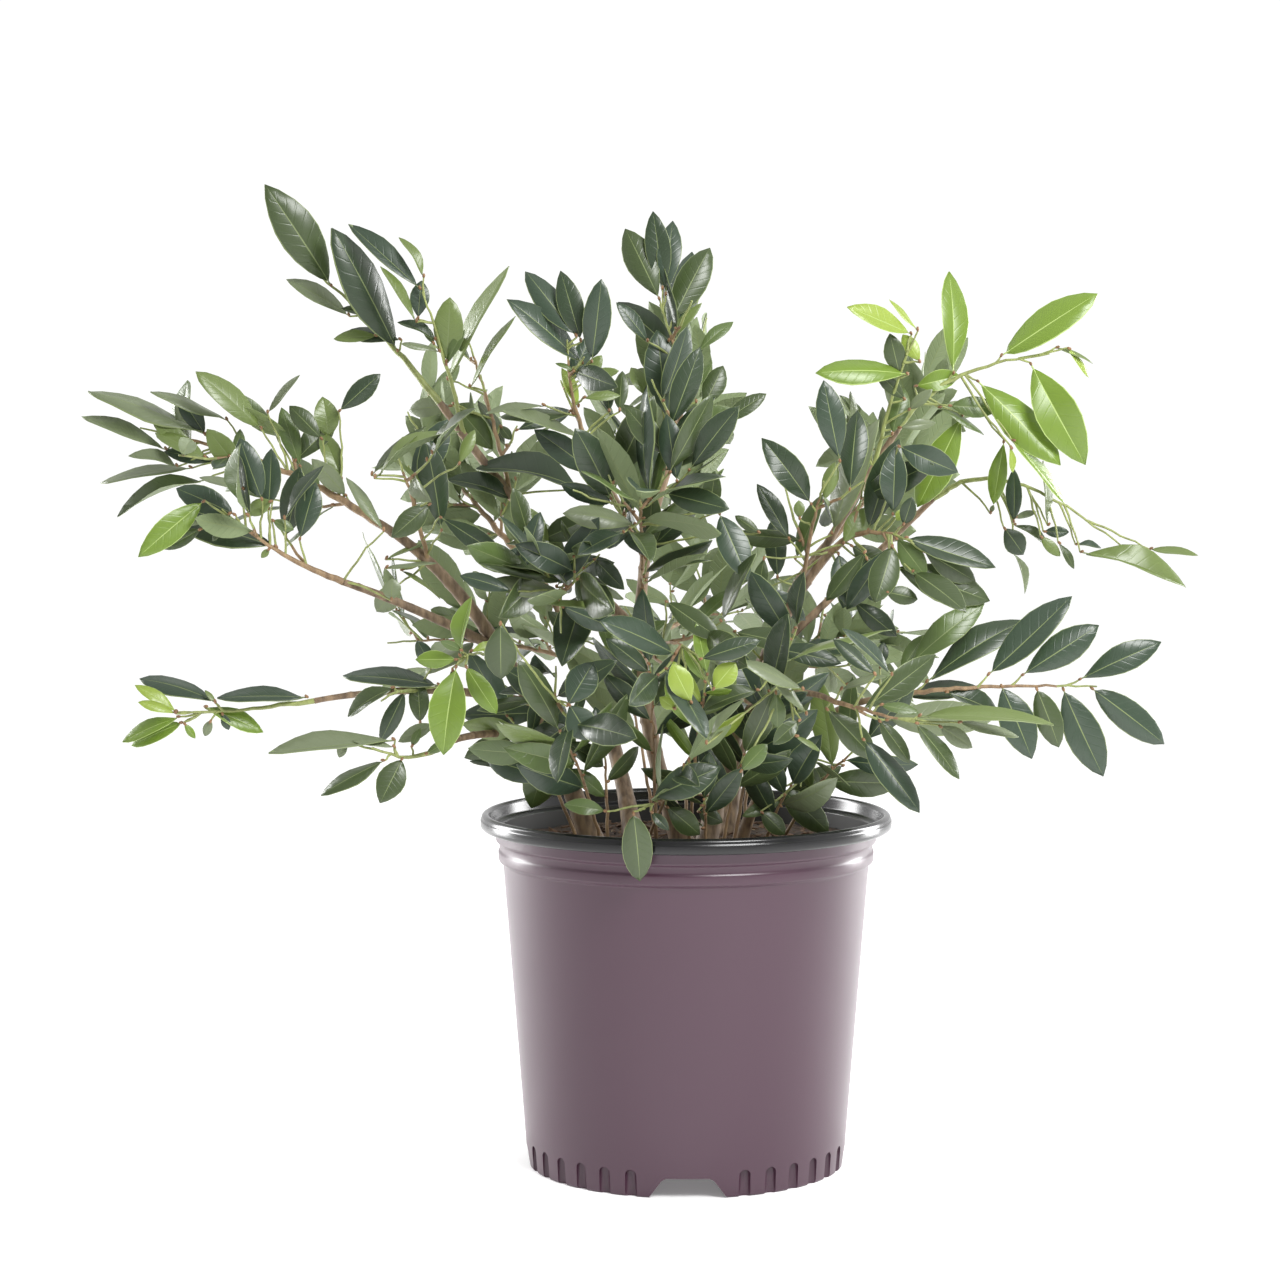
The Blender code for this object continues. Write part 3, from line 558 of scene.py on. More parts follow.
# %% Grow leaves along shoots
LEAF_STEP = 0.0125
FIRST_LEAF = 0.010
FIRST_LEAF_SHARE = 0.3
LAST_LEAF_SHARE = 0.94
LEAF_ANGLE = math.radians(50)
TIP_LEAF_ANGLE = 0.12
ANGLE_STRAY = 0.15
END_SIZE = 0.80
MIDDLE_SIZE = 0.20
LEAF_LENGTHS = (0.80, 1.12)
LEAF_WIDTH_SHARE = 0.34
LEAF_WIDTHS = (0.85, 1.15)
LEAF_LEANS = (-0.25, 0.30)
LEAF_ROLL = 0.6
LEAF_TRIES = 4
RETRY_ROLL = 0.5
RETRY_TURN = 0.12
RETRY_SHRINK = 0.93
UPTURN = 0.12
TIP_UPTURN = 0.22
BLADE_KINDS = 8


def leaf_places(path, order, facing, rng, step, bare):
    """Rows of root, direction, side, face, angle, size and share, from a shoot's tip down."""
    length = path_length(path)
    first = min(FIRST_LEAF, length * FIRST_LEAF_SHARE) if bare is None else length * bare
    count = max(1, int((length - first) / step) + 1)
    tip, direction = on_path(path, 1)
    side, face = across(direction, facing)
    wanted = [(tip, direction, side * rng.choice((-1, 1)), face, TIP_LEAF_ANGLE, 1.0, 1.0)]
    for i in reversed(range(count)):
        share = (first + i * step) / length
        if share > LAST_LEAF_SHARE:
            continue
        root, direction = on_path(path, share)
        side, face = across(direction, facing)
        rank = 1 if (i + order) % 2 else -1
        size = END_SIZE + MIDDLE_SIZE * math.sin(math.pi * share)
        wanted.append((root, direction, side * rank, face, LEAF_ANGLE, size, share))
    return wanted


def stray(rng, most):
    return rng.uniform(-most, most)


def grow_leaves(mass, shoots, space, rng, sizes, grown, step, slack, bare=None):
    """Alternate leaves in two ranks along every shoot, and one at its tip."""
    leaves = []
    facing = facing_of(mass)
    for order, path in enumerate(shoots):
        wanted = leaf_places(path, order, facing, rng, step, bare)
        for root, direction, side, face, angle, size, share in wanted:
            length = mass.leaf * sizes * size * rng.uniform(*LEAF_LENGTHS)
            for attempt in range(LEAF_TRIES):
                turned_side = Matrix.Rotation(stray(rng, RETRY_ROLL) * attempt, 3, direction) @ side
                open_angle = angle + stray(rng, ANGLE_STRAY) + RETRY_TURN * attempt
                lift = Vector((0, 0, TIP_UPTURN if angle < LEAF_ANGLE / 2 else UPTURN))
                lean = face * rng.uniform(*LEAF_LEANS)
                along = direction * math.cos(open_angle) + turned_side * math.sin(open_angle)
                along = (along + lean + lift).normalized()
                up = (face - along * face.dot(along)).normalized()
                up = Matrix.Rotation(stray(rng, LEAF_ROLL), 3, along) @ up
                width = length * LEAF_WIDTH_SHARE * rng.uniform(*LEAF_WIDTHS)
                shape = rng.randrange(BLADE_KINDS)
                leaf = Leaf(root, along, up, length, width, shape, tint_of(mass, share, rng))
                if fits(leaf, mass, space, grown, slack):
                    leaves.append(leaf)
                    grown += leaf_points(leaf)
                    break
                length *= RETRY_SHRINK
    return leaves


# %% [markdown]
# ## Leaves that catch the eye
# Chance would never put the large leaves of the outer shoots where the real plant has them. They are
# listed by mass, as a botanist would draw them from the front: where a leaf starts and ends, in
# millimetres to the right and up in the upright plane through the pot's axis, then its seen width
# as a percentage of its length, and its tint. The depth comes from the mass's own stem. One leaf hangs
# over the pot's lip, so its row ends with a depth of its own.

# %% The listed leaves
# Tint 5 is painted sheen on leaves that look glossy, and the pale of an underside on leaves that show it.
SEEN = {
    "leaves_upper_left": [
        (-239, 597, -283, 664, 33, 2), (-195, 553, -239, 634, 30, 0), (-227, 577, -269, 602, 24, 5),
        (-208, 564, -237, 561, 30, 4), (-192, 561, -230, 568, 28, 0), (-207, 573, -231, 585, 26, 2),
    ],
    "leaves_left_inner": [
        (-166, 432, -175, 494, 33, 0), (-167, 442, -124, 415, 34, 0), (-173, 451, -199, 428, 45, 2),
        (-175, 452, -199, 486, 14, 4), (-195, 396, -209, 377, 70, 5), (-204, 413, -166, 423, 10, 4),
        (-204, 407, -170, 411, 14, 5), (-194, 406, -167, 387, 14, 4), (-213, 470, -177, 503, 16, 2),
        (-211, 468, -158, 507, 10, 4), (-154, 477, -143, 501, 35, 4),
    ],
    "leaves_upper_mid": [
        (-158, 519, -131, 489, 45, 3), (-158, 517, -189, 515, 40, 5), (-116, 453, -160, 472, 28, 0),
        (-70, 460, -141, 484, 25, 0), (-126, 504, -119, 494, 60, 2), (-161, 534, -119, 609, 12, 4),
        (-146, 529, -115, 576, 10, 4),
    ],
    "leaves_centre_low": [
        (-110, 406, -100, 445, 38, 1), (-99, 426, -68, 439, 48, 2), (-88, 394, -58, 440, 33, 1),
        (-106, 407, -77, 418, 45, 0), (-117, 391, -153, 403, 33, 1), (-99, 384, -52, 373, 16, 4),
    ],
    "leaves_centre_front": [
        (22, 445, 42, 400, 42, 1), (50, 431, 33, 442, 40, 2), (15, 445, 21, 473, 50, 2),
    ],
    "leaves_upper_inner": [
        (-179, 595, -227, 635, 20, 1), (-177, 603, -191, 632, 20, 4), (-181, 575, -179, 601, 60, 1),
        (-182, 573, -208, 608, 14, 4), (-162, 546, -158, 589, 46, 4), (-170, 558, -177, 571, 40, 3),
        (-169, 561, -193, 576, 26, 0), (-166, 553, -192, 560, 16, 5), (-162, 544, -151, 568, 30, 3),
    ],
    "leaves_right_upper": [
        (180, 538, 179, 608, 31, 6), (212, 550, 277, 590, 30, 6), (196, 534, 253, 479, 33, 6),
        (232, 546, 268, 477, 35, 6), (257, 556, 271, 536, 16, 7), (249, 556, 274, 546, 14, 4),
        (177, 517, 211, 515, 42, 3), (170, 516, 202, 499, 16, 3), (187, 511, 158, 449, 36, 6),
        (154, 530, 185, 537, 42, 6), (215, 494, 208, 450, 34, 6), (219, 490, 221, 472, 28, 7),
        (220, 494, 255, 451, 14, 6),
    ],
    "leaves_right_inner_top": [
        (152, 565, 107, 582, 28, 7), (150, 538, 89, 542, 27, 6), (144, 538, 137, 565, 50, 2),
        (158, 546, 146, 565, 50, 7), (156, 567, 137, 588, 12, 7), (139, 497, 147, 529, 45, 3),
        (150, 514, 166, 528, 36, 5), (143, 502, 169, 506, 34, 5), (148, 521, 129, 540, 40, 2),
        (114, 494, 111, 526, 18, 5),
    ],
    "leaves_right_far": [
        (222, 438, 223, 474, 34, 1), (245, 436, 241, 479, 16, 5), (215, 435, 229, 417, 70, 0),
        (221, 419, 233, 391, 15, 5), (222, 441, 237, 445, 30, 5), (240, 429, 253, 415, 40, 4),
        (242, 432, 259, 431, 50, 1), (252, 425, 264, 407, 32, 2), (267, 418, 342, 400, 18, 4),
        (264, 423, 282, 422, 24, 1), (314, 420, 346, 413, 22, 4), (221, 437, 248, 423, 20, 2),
        (206, 444, 208, 450, 60, 5),
    ],
    "leaves_right_low": [
        (149, 339, 201, 385, 33, 3), (163, 329, 228, 376, 30, 0), (205, 334, 263, 383, 32, 1),
        (228, 334, 280, 368, 38, 1), (267, 331, 322, 358, 38, 1), (275, 326, 326, 289, 34, 1),
        (256, 326, 281, 267, 40, 1), (238, 326, 255, 286, 44, 2), (214, 328, 236, 278, 44, 1),
        (149, 319, 200, 326, 27, 0), (176, 323, 215, 309, 32, 0), (145, 336, 162, 362, 40, 3),
        (132, 339, 134, 357, 60, 0),
    ],
    "leaves_right_front": [
        (158, 306, 249, 302, 15, 4), (185, 302, 226, 293, 20, 5), (172, 300, 195, 285, 42, 5),
        (156, 302, 185, 263, 26, 2), (131, 304, 153, 275, 35, 2), (120, 291, 160, 242, 33, 1),
        (95, 312, 129, 278, 40, 2), (105, 324, 136, 334, 22, 5), (140, 334, 109, 367, 26, 1),
        (129, 334, 100, 358, 30, 0), (132, 314, 158, 308, 30, 3),
    ],
    "leaves_low_left": [
        (-320, 316, -371, 335, 24, 1), (-257, 319, -318, 318, 24, 1), (-346, 309, -374, 328, 32, 7),
        (-347, 308, -372, 317, 26, 7), (-344, 306, -385, 290, 30, 6), (-342, 302, -377, 287, 30, 6),
        (-342, 302, -334, 291, 40, 6), (-328, 313, -288, 296, 30, 6), (-316, 309, -311, 297, 60, 1),
        (-323, 304, -328, 293, 50, 5), (-320, 315, -327, 324, 30, 4),
    ],
    "leaves_low_left_inner": [
        (-167, 327, -232, 334, 22, 1), (-198, 326, -233, 309, 30, 2), (-191, 324, -207, 289, 34, 0),
        (-181, 301, -182, 331, 46, 2), (-173, 339, -182, 358, 50, 1),
    ],
    "leaves_lowest_left": [
        (-198, 290, -283, 275, 13, 5), (-205, 276, -248, 252, 24, 2), (-193, 278, -208, 247, 55, 2),
        (-231, 290, -237, 278, 50, 5), (-170, 301, -196, 290, 34, 5), (-187, 285, -181, 298, 40, 3),
        (-198, 285, -227, 289, 20, 5), (-178, 280, -162, 289, 40, 3),
    ],
    "leaves_lime_left": [
        (-153, 347, -149, 388, 24, 6), (-155, 345, -184, 345, 44, 6), (-156, 341, -168, 281, 40, 6),
        (-150, 341, -130, 308, 38, 6), (-159, 339, -157, 330, 60, 5), (-147, 350, -126, 355, 30, 7),
        (-152, 351, -167, 358, 40, 3),
    ],
    "leaves_left_top": [
        (-351, 487, -408, 505, 16, 5), (-323, 497, -403, 526, 13, 5), (-334, 475, -395, 465, 12, 5),
        (-325, 467, -388, 450, 14, 2), (-329, 484, -361, 507, 36, 4), (-344, 476, -376, 487, 24, 5),
        (-287, 501, -330, 540, 30, 4), (-278, 499, -308, 526, 34, 3), (-303, 474, -323, 502, 50, 4),
        (-283, 512, -259, 536, 20, 5), (-242, 494, -244, 523, 55, 4), (-235, 513, -207, 538, 40, 0),
        (-246, 494, -268, 517, 45, 2), (-261, 475, -274, 515, 34, 3), (-319, 479, -353, 486, 30, 1),
        (-325, 497, -342, 524, 45, 1), (-336, 488, -345, 518, 24, 5), (-310, 507, -361, 526, 12, 5),
        (-302, 488, -320, 474, 30, 2), (-233, 467, -246, 501, 34, 4), (-230, 456, -253, 482, 40, 5),
        (-303, 479, -302, 501, 40, 3),
    ],
    "leaves_left": [
        (-277, 421, -353, 441, 26, 0), (-305, 443, -344, 462, 42, 1), (-287, 453, -303, 494, 44, 1),
        (-283, 447, -279, 487, 42, 1), (-272, 440, -248, 479, 22, 0), (-262, 426, -251, 465, 46, 1),
        (-326, 453, -372, 416, 34, 6), (-328, 434, -353, 421, 36, 2), (-280, 453, -297, 445, 60, 4),
        (-281, 440, -266, 433, 50, 3), (-308, 445, -321, 426, 30, 2), (-326, 438, -355, 434, 20, 5),
        (-282, 421, -288, 414, 60, 4), (-299, 460, -329, 468, 24, 5), (-205, 432, -230, 468, 16, 5),
        (-200, 385, -200, 400, 90, 5),
    ],
    "leaves_centre_top": [
        (-18, 588, -41, 636, 42, 2), (-16, 595, -21, 646, 36, 0), (-14, 591, -10, 642, 38, 1),
        (-9, 575, 14, 623, 42, 2), (-12, 560, 10, 586, 20, 4), (-26, 560, -47, 586, 30, 1),
        (-3, 549, 1, 575, 35, 3), (7, 553, 31, 575, 32, 3), (-13, 507, -20, 567, 48, 1),
        (11, 515, 25, 544, 50, 2), (24, 506, 54, 524, 33, 2), (-7, 499, 33, 514, 45, 3),
        (7, 519, -3, 553, 40, 5), (-25, 522, -37, 544, 40, 4), (2, 524, 17, 546, 30, 3),
    ],
    "leaves_centre_left": [
        (-70, 545, -120, 588, 26, 1), (-74, 563, -109, 606, 32, 1), (-71, 560, -85, 607, 34, 0),
        (-64, 546, -56, 601, 34, 1), (-70, 532, -58, 551, 50, 4), (-69, 536, -46, 541, 35, 4),
        (-70, 522, -45, 524, 30, 4), (-73, 516, -84, 542, 30, 7), (-75, 540, -88, 546, 30, 3),
        (-45, 513, -44, 540, 40, 2), (-52, 513, -54, 534, 40, 0), (-95, 517, -134, 509, 12, 5),
        (-75, 511, -126, 509, 16, 2), (-60, 470, -101, 501, 38, 1), (-68, 494, -126, 509, 12, 5),
    ],
    "leaves_right_inner": [
        (85, 450, 54, 495, 34, 0), (70, 426, 48, 463, 32, 0), (99, 430, 128, 507, 26, 5),
        (104, 479, 92, 533, 38, 1), (62, 400, 60, 440, 36, 0), (74, 413, 95, 455, 30, 3),
        (93, 452, 101, 479, 40, 4), (106, 423, 120, 448, 45, 4), (77, 440, 76, 453, 70, 4),
    ],
    "leaves_right_mid": [
        (123, 432, 143, 494, 34, 0), (140, 443, 142, 489, 38, 1), (143, 490, 183, 471, 42, 1),
        (147, 436, 154, 455, 60, 0), (148, 428, 207, 404, 30, 0), (142, 428, 163, 402, 52, 3),
        (140, 409, 206, 385, 38, 2), (160, 419, 197, 398, 42, 2), (140, 423, 130, 384, 52, 2),
        (118, 413, 106, 380, 46, 1), (135, 391, 157, 387, 60, 2), (113, 385, 143, 361, 42, 0),
        (122, 419, 96, 385, 34, 2), (148, 447, 142, 440, 80, 7), (122, 415, 130, 385, 60, 1),
        (111, 423, 141, 403, 45, 2), (103, 418, 109, 381, 50, 1), (53, 415, 49, 391, 50, 2),
        (56, 394, 81, 372, 38, 1),
    ],
    "leaves_front_left": [
        (-79, 302, -112, 276, 62, 0), (-75, 298, -101, 257, 55, 3), (-91, 287, -106, 243, 52, 3),
        (-81, 313, -63, 343, 66, 1), (-80, 315, -65, 291, 80, 1), (-90, 317, -122, 339, 52, 0),
        (-90, 317, -127, 327, 26, 1), (-126, 371, -126, 331, 56, 2), (-116, 293, -151, 278, 40, 2),
        (-116, 269, -147, 275, 22, 0), (-76, 276, -99, 266, 50, 2), (-94, 309, -152, 306, 34, 0),
        (-99, 317, -142, 313, 22, 2),
    ],
    "leaves_front_mid": [
        (4, 315, -10, 341, 60, 7), (18, 324, 33, 343, 70, 7), (-7, 311, -18, 319, 60, 7),
        (-39, 324, -23, 343, 62, 2), (-65, 385, -49, 351, 30, 3), (-18, 316, -57, 308, 22, 3),
        (-14, 385, 23, 358, 34, 2), (-31, 358, -14, 372, 30, 3), (9, 345, 50, 358, 36, 0),
        (-72, 358, -94, 377, 40, 2),
    ],
    "leaves_front_low": [
        (-36, 241, -30, 194, 45, 2, -151), (-14, 245, 10, 225, 52, 2), (8, 241, 25, 234, 60, 2),
        (-54, 241, -83, 247, 36, 3), (-24, 241, -12, 228, 40, 0), (-24, 250, 23, 272, 42, 0),
    ],
    "leaves_right_low_inner": [
        (64, 257, 98, 228, 46, 2), (108, 273, 71, 252, 36, 2), (51, 241, 68, 226, 60, 2),
        (66, 249, 38, 238, 34, 3), (54, 285, 66, 264, 62, 0), (78, 276, 90, 258, 50, 2),
    ],
    "leaves_front_right": [
        (80, 324, 38, 343, 22, 5), (82, 307, 54, 341, 18, 5), (78, 304, 59, 288, 44, 2),
        (61, 324, 63, 297, 50, 3), (74, 293, 91, 282, 20, 4), (29, 320, 48, 289, 58, 0),
        (56, 353, 105, 343, 32, 0), (32, 364, 83, 351, 30, 2), (67, 343, 138, 370, 10, 4),
        (14, 287, 37, 320, 16, 5), (50, 324, 10, 314, 30, 2), (37, 268, 55, 287, 50, 3),
    ],
}


print(sum(len(rows) for rows in SEEN.values()), "listed leaves on", len(SEEN), "masses")

# %% [markdown]
# ## From a flat drawing to leaves in space
# Each listed leaf is set at the depth of its mass's leader, a little before or behind it, and then
# turned about its own length until its seen width comes out right. One that starts off the leader
# gets a thin stalk to it. Setting the leaves by hand in the viewport would look the same, but a list
# can be read and changed.

# %% Set the listed leaves
FULL_WIDTH = 0.34
NARROW_WIDTH = 0.24
NARROW_BELOW = 0.2
ARCH_LIFT = 0.08
LENGTH_TRIM = 0.96
BLADE_BREADTH = 1.12
EXTRA_TURN = 0.12
SEEN_LEANS = (-0.30, 0.25)
SEEN_DEPTHS = (-0.5, 0.3)
DEEPEST = 0.05
LEADER_PLACES = 40
STALK_GAP = 0.003
LONG_STALK_GAP = 0.012
STALK_BACK = 2
LONG_STALK_BACK = 6
STALK_BOW = 0.1
STALK_PIECES = 4


def flattened(point):
    """Where the camera sees a point, in the upright plane through the pot's axis."""
    nearer = CAMERA_DISTANCE / (CAMERA_DISTANCE + point.y)
    return Vector((CAMERA_PLACE[0] + (point.x - CAMERA_PLACE[0]) * nearer,
                   CAMERA_PLACE[1] + (point.z - CAMERA_PLACE[1]) * nearer))


def at_depth(x, z, depth):
    """The point that the camera sees at x and z, at a depth behind or before that plane."""
    farther = (CAMERA_DISTANCE + depth) / CAMERA_DISTANCE
    return Vector((CAMERA_PLACE[0] + (x - CAMERA_PLACE[0]) * farther, depth,
                   CAMERA_PLACE[1] + (z - CAMERA_PLACE[1]) * farther))


def seen_leaves(rows, leader, rng):
    """The listed leaves of a mass, and a thin twig to each one that starts off its own stem."""
    leaves, stalks = [], []
    places = [on_path(leader, i / LEADER_PLACES)[0] for i in range(LEADER_PLACES + 1)]
    for x0, z0, x1, z1, seen_width, tint, *own_depth in rows:
        start, end, wide = Vector((x0, z0)) / 1000, Vector((x1, z1)) / 1000, seen_width / 100
        nearest = min(range(len(places)), key=lambda i: (flattened(places[i]) - start).length)
        near = places[nearest]
        gap = (flattened(near) - start).length
        depth = near.y + rng.uniform(*SEEN_DEPTHS) * min(gap, DEEPEST)
        if own_depth:
            depth = own_depth[0] / 1000
        lean = rng.uniform(*SEEN_LEANS) * (end - start).length
        root, tip = at_depth(*start, depth), at_depth(*end, depth + lean)
        along, length = (tip - root).normalized(), (tip - root).length
        _, face = across(along, Vector((CAMERA_PLACE[0], -CAMERA_DISTANCE, CAMERA_PLACE[1])) - root)
        full = max(wide, FULL_WIDTH if wide > NARROW_BELOW else NARROW_WIDTH)
        turn = math.acos(wide / full) + rng.uniform(0, EXTRA_TURN)
        turned = [Matrix.Rotation(way * turn, 3, along) @ face for way in (-1, 1)]
        face = max(turned, key=lambda way: way.z)
        leaves.append(Leaf(root, (along + face * ARCH_LIFT).normalized(), face, length * LENGTH_TRIM,
                           length * full / BLADE_BREADTH, rng.randrange(BLADE_KINDS), tint))
        if gap > STALK_GAP:
            back = LONG_STALK_BACK if gap > LONG_STALK_GAP else STALK_BACK
            foot = places[max(nearest - back, 0)]
            control = foot.lerp(root, 0.5) + along * gap * STALK_BOW
            stalks.append(bend(foot, control, root, STALK_PIECES))
    return leaves, stalks


# %% [markdown]
# ## Grow the whole crown
# One seeded draw after another, mass by mass, gives the same plant each time. Young shoots at the
# outside are unbranched, so they carry only their listed leaves. Masses with a list of their own get
# a few more leaves behind it, and the others grow in full.

# %% Grow the crown
OPEN_STEP = 0.017
TWIGLET_SIZES = 0.75
TWIGLET_LEAF_STEP = 0.011
SLACK = 0.002
TWIGLET_SLACK = 0.004
LEADER_RADIUS = 0.0018
TWIG_RADIUS = 0.0013
TWIGLET_RADIUS = 0.0009
YOUNG_SHOOTS = {
    "leaves_upper_left", "leaves_upper_inner", "leaves_right_upper", "leaves_right_inner_top",
    "leaves_low_left", "leaves_low_left_inner", "leaves_lowest_left", "leaves_lime_left",
    "leaves_right_low", "leaves_right_far",
}
FULL_MASSES = {"leaves_centre_low", "leaves_centre_front"}
shoots, crown = [], {}
tip_radii = {limb.name: limb.tip_radius for limb in LIMBS}
for mass in MASSES:
    rng = random.Random(mass.seed)
    leader = leaders[mass.name]
    twigs = grow_twigs(mass, leader, space, rng)
    leaves, stalks = seen_leaves(SEEN.get(mass.name, ()), leader, rng)
    grown = [point for leaf in leaves for point in leaf_points(leaf)]
    twiglets = []
    if mass.name in YOUNG_SHOOTS:
        twigs = []
    elif mass.name in SEEN and mass.name not in FULL_MASSES:
        leaves += grow_leaves(mass, twigs, space, rng, 1.0, grown, OPEN_STEP, SLACK)
    else:
        main = [leader] + twigs
        leaves += grow_leaves(mass, main, space, rng, 1.0, grown, LEAF_STEP, SLACK)
        twiglets = grow_twiglets(mass, main, space, rng)
        leaves += grow_leaves(mass, twiglets, space, rng, TWIGLET_SIZES, grown, TWIGLET_LEAF_STEP,
                              TWIGLET_SLACK)
    crown[mass.name] = leaves
    green = mass.name in YOUNG_SHOOTS and mass.name != "leaves_right_low"
    foot_radius = tip_radii[mass.limb] if mass.share == 1 else LEADER_RADIUS
    shoots.append(Shoot(leader, foot_radius, 2 if green else 0))
    shoots += [Shoot(path, TWIG_RADIUS, 1) for path in twigs]
    shoots += [Shoot(path, TWIGLET_RADIUS, 2) for path in twiglets + stalks]
print(sum(len(leaves) for leaves in crown.values()), "leaves on", len(shoots), "shoots")

# %% [markdown]
# ## Suckers
# Between the stems thin suckers rise from the soil, bare below and leafy above, and fill the middle
# of the plant. They belong to no mass, so their leaves only keep off the limbs, the pot and every
# leaf grown before. Each row gives the foot on the soil, the tip, the length of the leaves, the
# compass angle and the tilt that they face, and their mixture of tints.

# %% Grow the suckers
SUCKERS = [
    ((-0.055, -0.060), (-0.083, -0.120, 0.308), 0.056, -90, 15, "dark"),
    ((-0.052, -0.068), (-0.055, -0.075, 0.293), 0.034, -80, 30, "dark"),
    ((0.000, -0.070), (0.012, -0.115, 0.344), 0.036, -90, 20, "lime"),
    ((-0.030, -0.070), (0.000, -0.125, 0.289), 0.050, -90, 50, "mid"),
    ((0.012, -0.080), (0.010, -0.105, 0.262), 0.036, -90, 30, "dark"),
    ((0.050, -0.050), (0.068, -0.080, 0.268), 0.046, -80, 30, "dark"),
    ((0.030, -0.060), (0.053, -0.090, 0.331), 0.052, -85, 20, "dark"),
    ((-0.020, -0.060), (-0.025, -0.095, 0.349), 0.052, -95, 20, "dark"),
    ((-0.070, -0.050), (-0.118, -0.080, 0.314), 0.050, -100, 25, "dark"),
    ((0.060, -0.035), (0.117, -0.070, 0.296), 0.056, -80, 25, "dark"),
    ((0.022, -0.070), (0.036, -0.100, 0.291), 0.046, -90, 30, "dark"),
    ((-0.020, 0.030), (-0.045, 0.060, 0.335), 0.052, 110, 25, "dark"),
    ((0.040, 0.035), (0.055, 0.050, 0.330), 0.052, 60, 25, "dark"),
    ((0.000, 0.060), (0.010, 0.100, 0.310), 0.050, 90, 30, "mid"),
]
SUCKER_RADIUS = 0.0014
SUCKER_PIECES = 6
SUCKER_SUNK = 0.002
SUCKER_BEND = 0.45
SUCKER_RISE = 0.25
SUCKER_BARE = 0.45
SUCKER_LEAF_STEP = 0.011
everything = [point for leaves in crown.values() for leaf in leaves for point in leaf_points(leaf)]
crown["suckers"] = []
for seed, (foot, tip, leaf_length, faces, tilt, tint) in enumerate(SUCKERS, 1):
    sucker = Mass(f"sucker_{seed}", None, 0, tip, 0, leaf_length, faces, tilt, tint, seed)
    foot, tip = Vector((*foot, SOIL_HEIGHT - SUCKER_SUNK)), Vector(tip)
    control = foot.lerp(tip, SUCKER_BEND) + Vector((0, 0, (tip.z - foot.z) * SUCKER_RISE))
    path = bend(foot, control, tip, SUCKER_PIECES)
    shoots.append(Shoot(path, SUCKER_RADIUS, 0))
    crown["suckers"] += grow_leaves(sucker, [path], space, random.Random(seed), 1.0, everything,
                                    SUCKER_LEAF_STEP, 0.0, SUCKER_BARE)
print(len(crown["suckers"]), "leaves on", len(SUCKERS), "suckers, and", len(shoots), "shoots in all")

# %% [markdown]
# ## Meshes, nodes and objects
# Three short helpers serve everything below. One adds a node to any tree, with its sockets linked
# or set by label. One takes an object's finished mesh, with its modifiers worked in. One puts a mesh
# into the scene at the origin, unturned and unscaled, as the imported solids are.

# %% Helpers for meshes and nodes
scene_home = bpy.context.scene.collection


def new_node(tree, kind, inputs=None, **settings):
    """Adds a node with its settings, and links or sets its sockets."""
    node = tree.nodes.new(kind)
    for name, value in settings.items():
        setattr(node, name, value)
    for key, value in (inputs or {}).items():
        if isinstance(value, bpy.types.NodeSocket):
            tree.links.new(value, node.inputs[key])
        else:
            node.inputs[key].default_value = value
    return node


def shown(name, mesh):
    """A mesh as an object of the scene, at the origin."""
    obj = bpy.data.objects.new(name, mesh)
    obj.data.name = name
    scene_home.objects.link(obj)
    return obj


def mesh_of(name, bm):
    mesh = bpy.data.meshes.new(name)
    bm.to_mesh(mesh)
    bm.free()
    return mesh


def finished_mesh(obj):
    """A copy of the object's mesh with its modifiers worked in."""
    bpy.context.view_layer.update()
    graph = bpy.context.evaluated_depsgraph_get()
    return bpy.data.meshes.new_from_object(obj.evaluated_get(graph), depsgraph=graph)


# %% [markdown]
# ## A small kit for Geometry Nodes
# What repeats or follows a path is made by trees: leaves, buds, twigs, the pot's flutes and the
# crumbs of bark. A tree gets named inputs, places its copies, realizes them and sets their materials.
# Its result is taken off as a plain mesh, because copies that are only instances would be lost in
# the export.

# %% Trees
class Tree:
    """A Geometry Nodes tree with named inputs, built a node at a time."""

    def __init__(self, name, inputs):
        self.group = bpy.data.node_groups.new(name, "GeometryNodeTree")
        sockets = self.group.interface
        sockets.new_socket("Geometry", in_out="INPUT", socket_type="NodeSocketGeometry")
        for label, (kind, value) in inputs.items():
            socket = sockets.new_socket(label, in_out="INPUT", socket_type="NodeSocket" + kind)
            if value is not None:
                socket.default_value = value
        sockets.new_socket("Geometry", in_out="OUTPUT", socket_type="NodeSocketGeometry")
        self.given = self.group.nodes.new("NodeGroupInput").outputs
        self.result = self.group.nodes.new("NodeGroupOutput").inputs[0]

    def add(self, kind, inputs=None, **settings):
        """A new node's first output."""
        node = new_node(self.group, kind, inputs, **settings)
        return next(output for output in node.outputs if output.enabled)

    def named(self, name, kind):
        return self.add("GeometryNodeInputNamedAttribute", {"Name": name}, data_type=kind)

    def end(self, geometry):
        self.group.links.new(geometry, self.result)
        return self

    def run(self, obj, **values):
        """Gives the tree its inputs on an object, and returns the result as a plain mesh object."""
        modifier = obj.modifiers.new(self.group.name, "NODES")
        modifier.node_group = self.group
        for item in self.group.interface.items_tree:
            label = item.name.lower().replace(" ", "_")
            if item.in_out == "INPUT" and label in values:
                modifier[item.identifier] = values[label]
        name, mesh = obj.name, finished_mesh(obj)
        bpy.data.objects.remove(obj, do_unlink=True)
        return shown(name, mesh)


# %% [markdown]
# ## What each piece stands for
# The imported solids are plain, so each one is hidden behind the dressed piece that replaces it. All
# pieces ride on the plant's only body.

# %% Stand in for the solids
def triangles(obj):
    obj.data.calc_loop_triangles()
    return len(obj.data.loop_triangles)


def stand_in_for(obj, nodes=()):
    """Rides the piece on the only body, and says what it stands for."""
    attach(obj, "root")
    if nodes:
        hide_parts(*nodes)
    print(obj.name, triangles(obj), "triangles, for", len(nodes), "nodes")


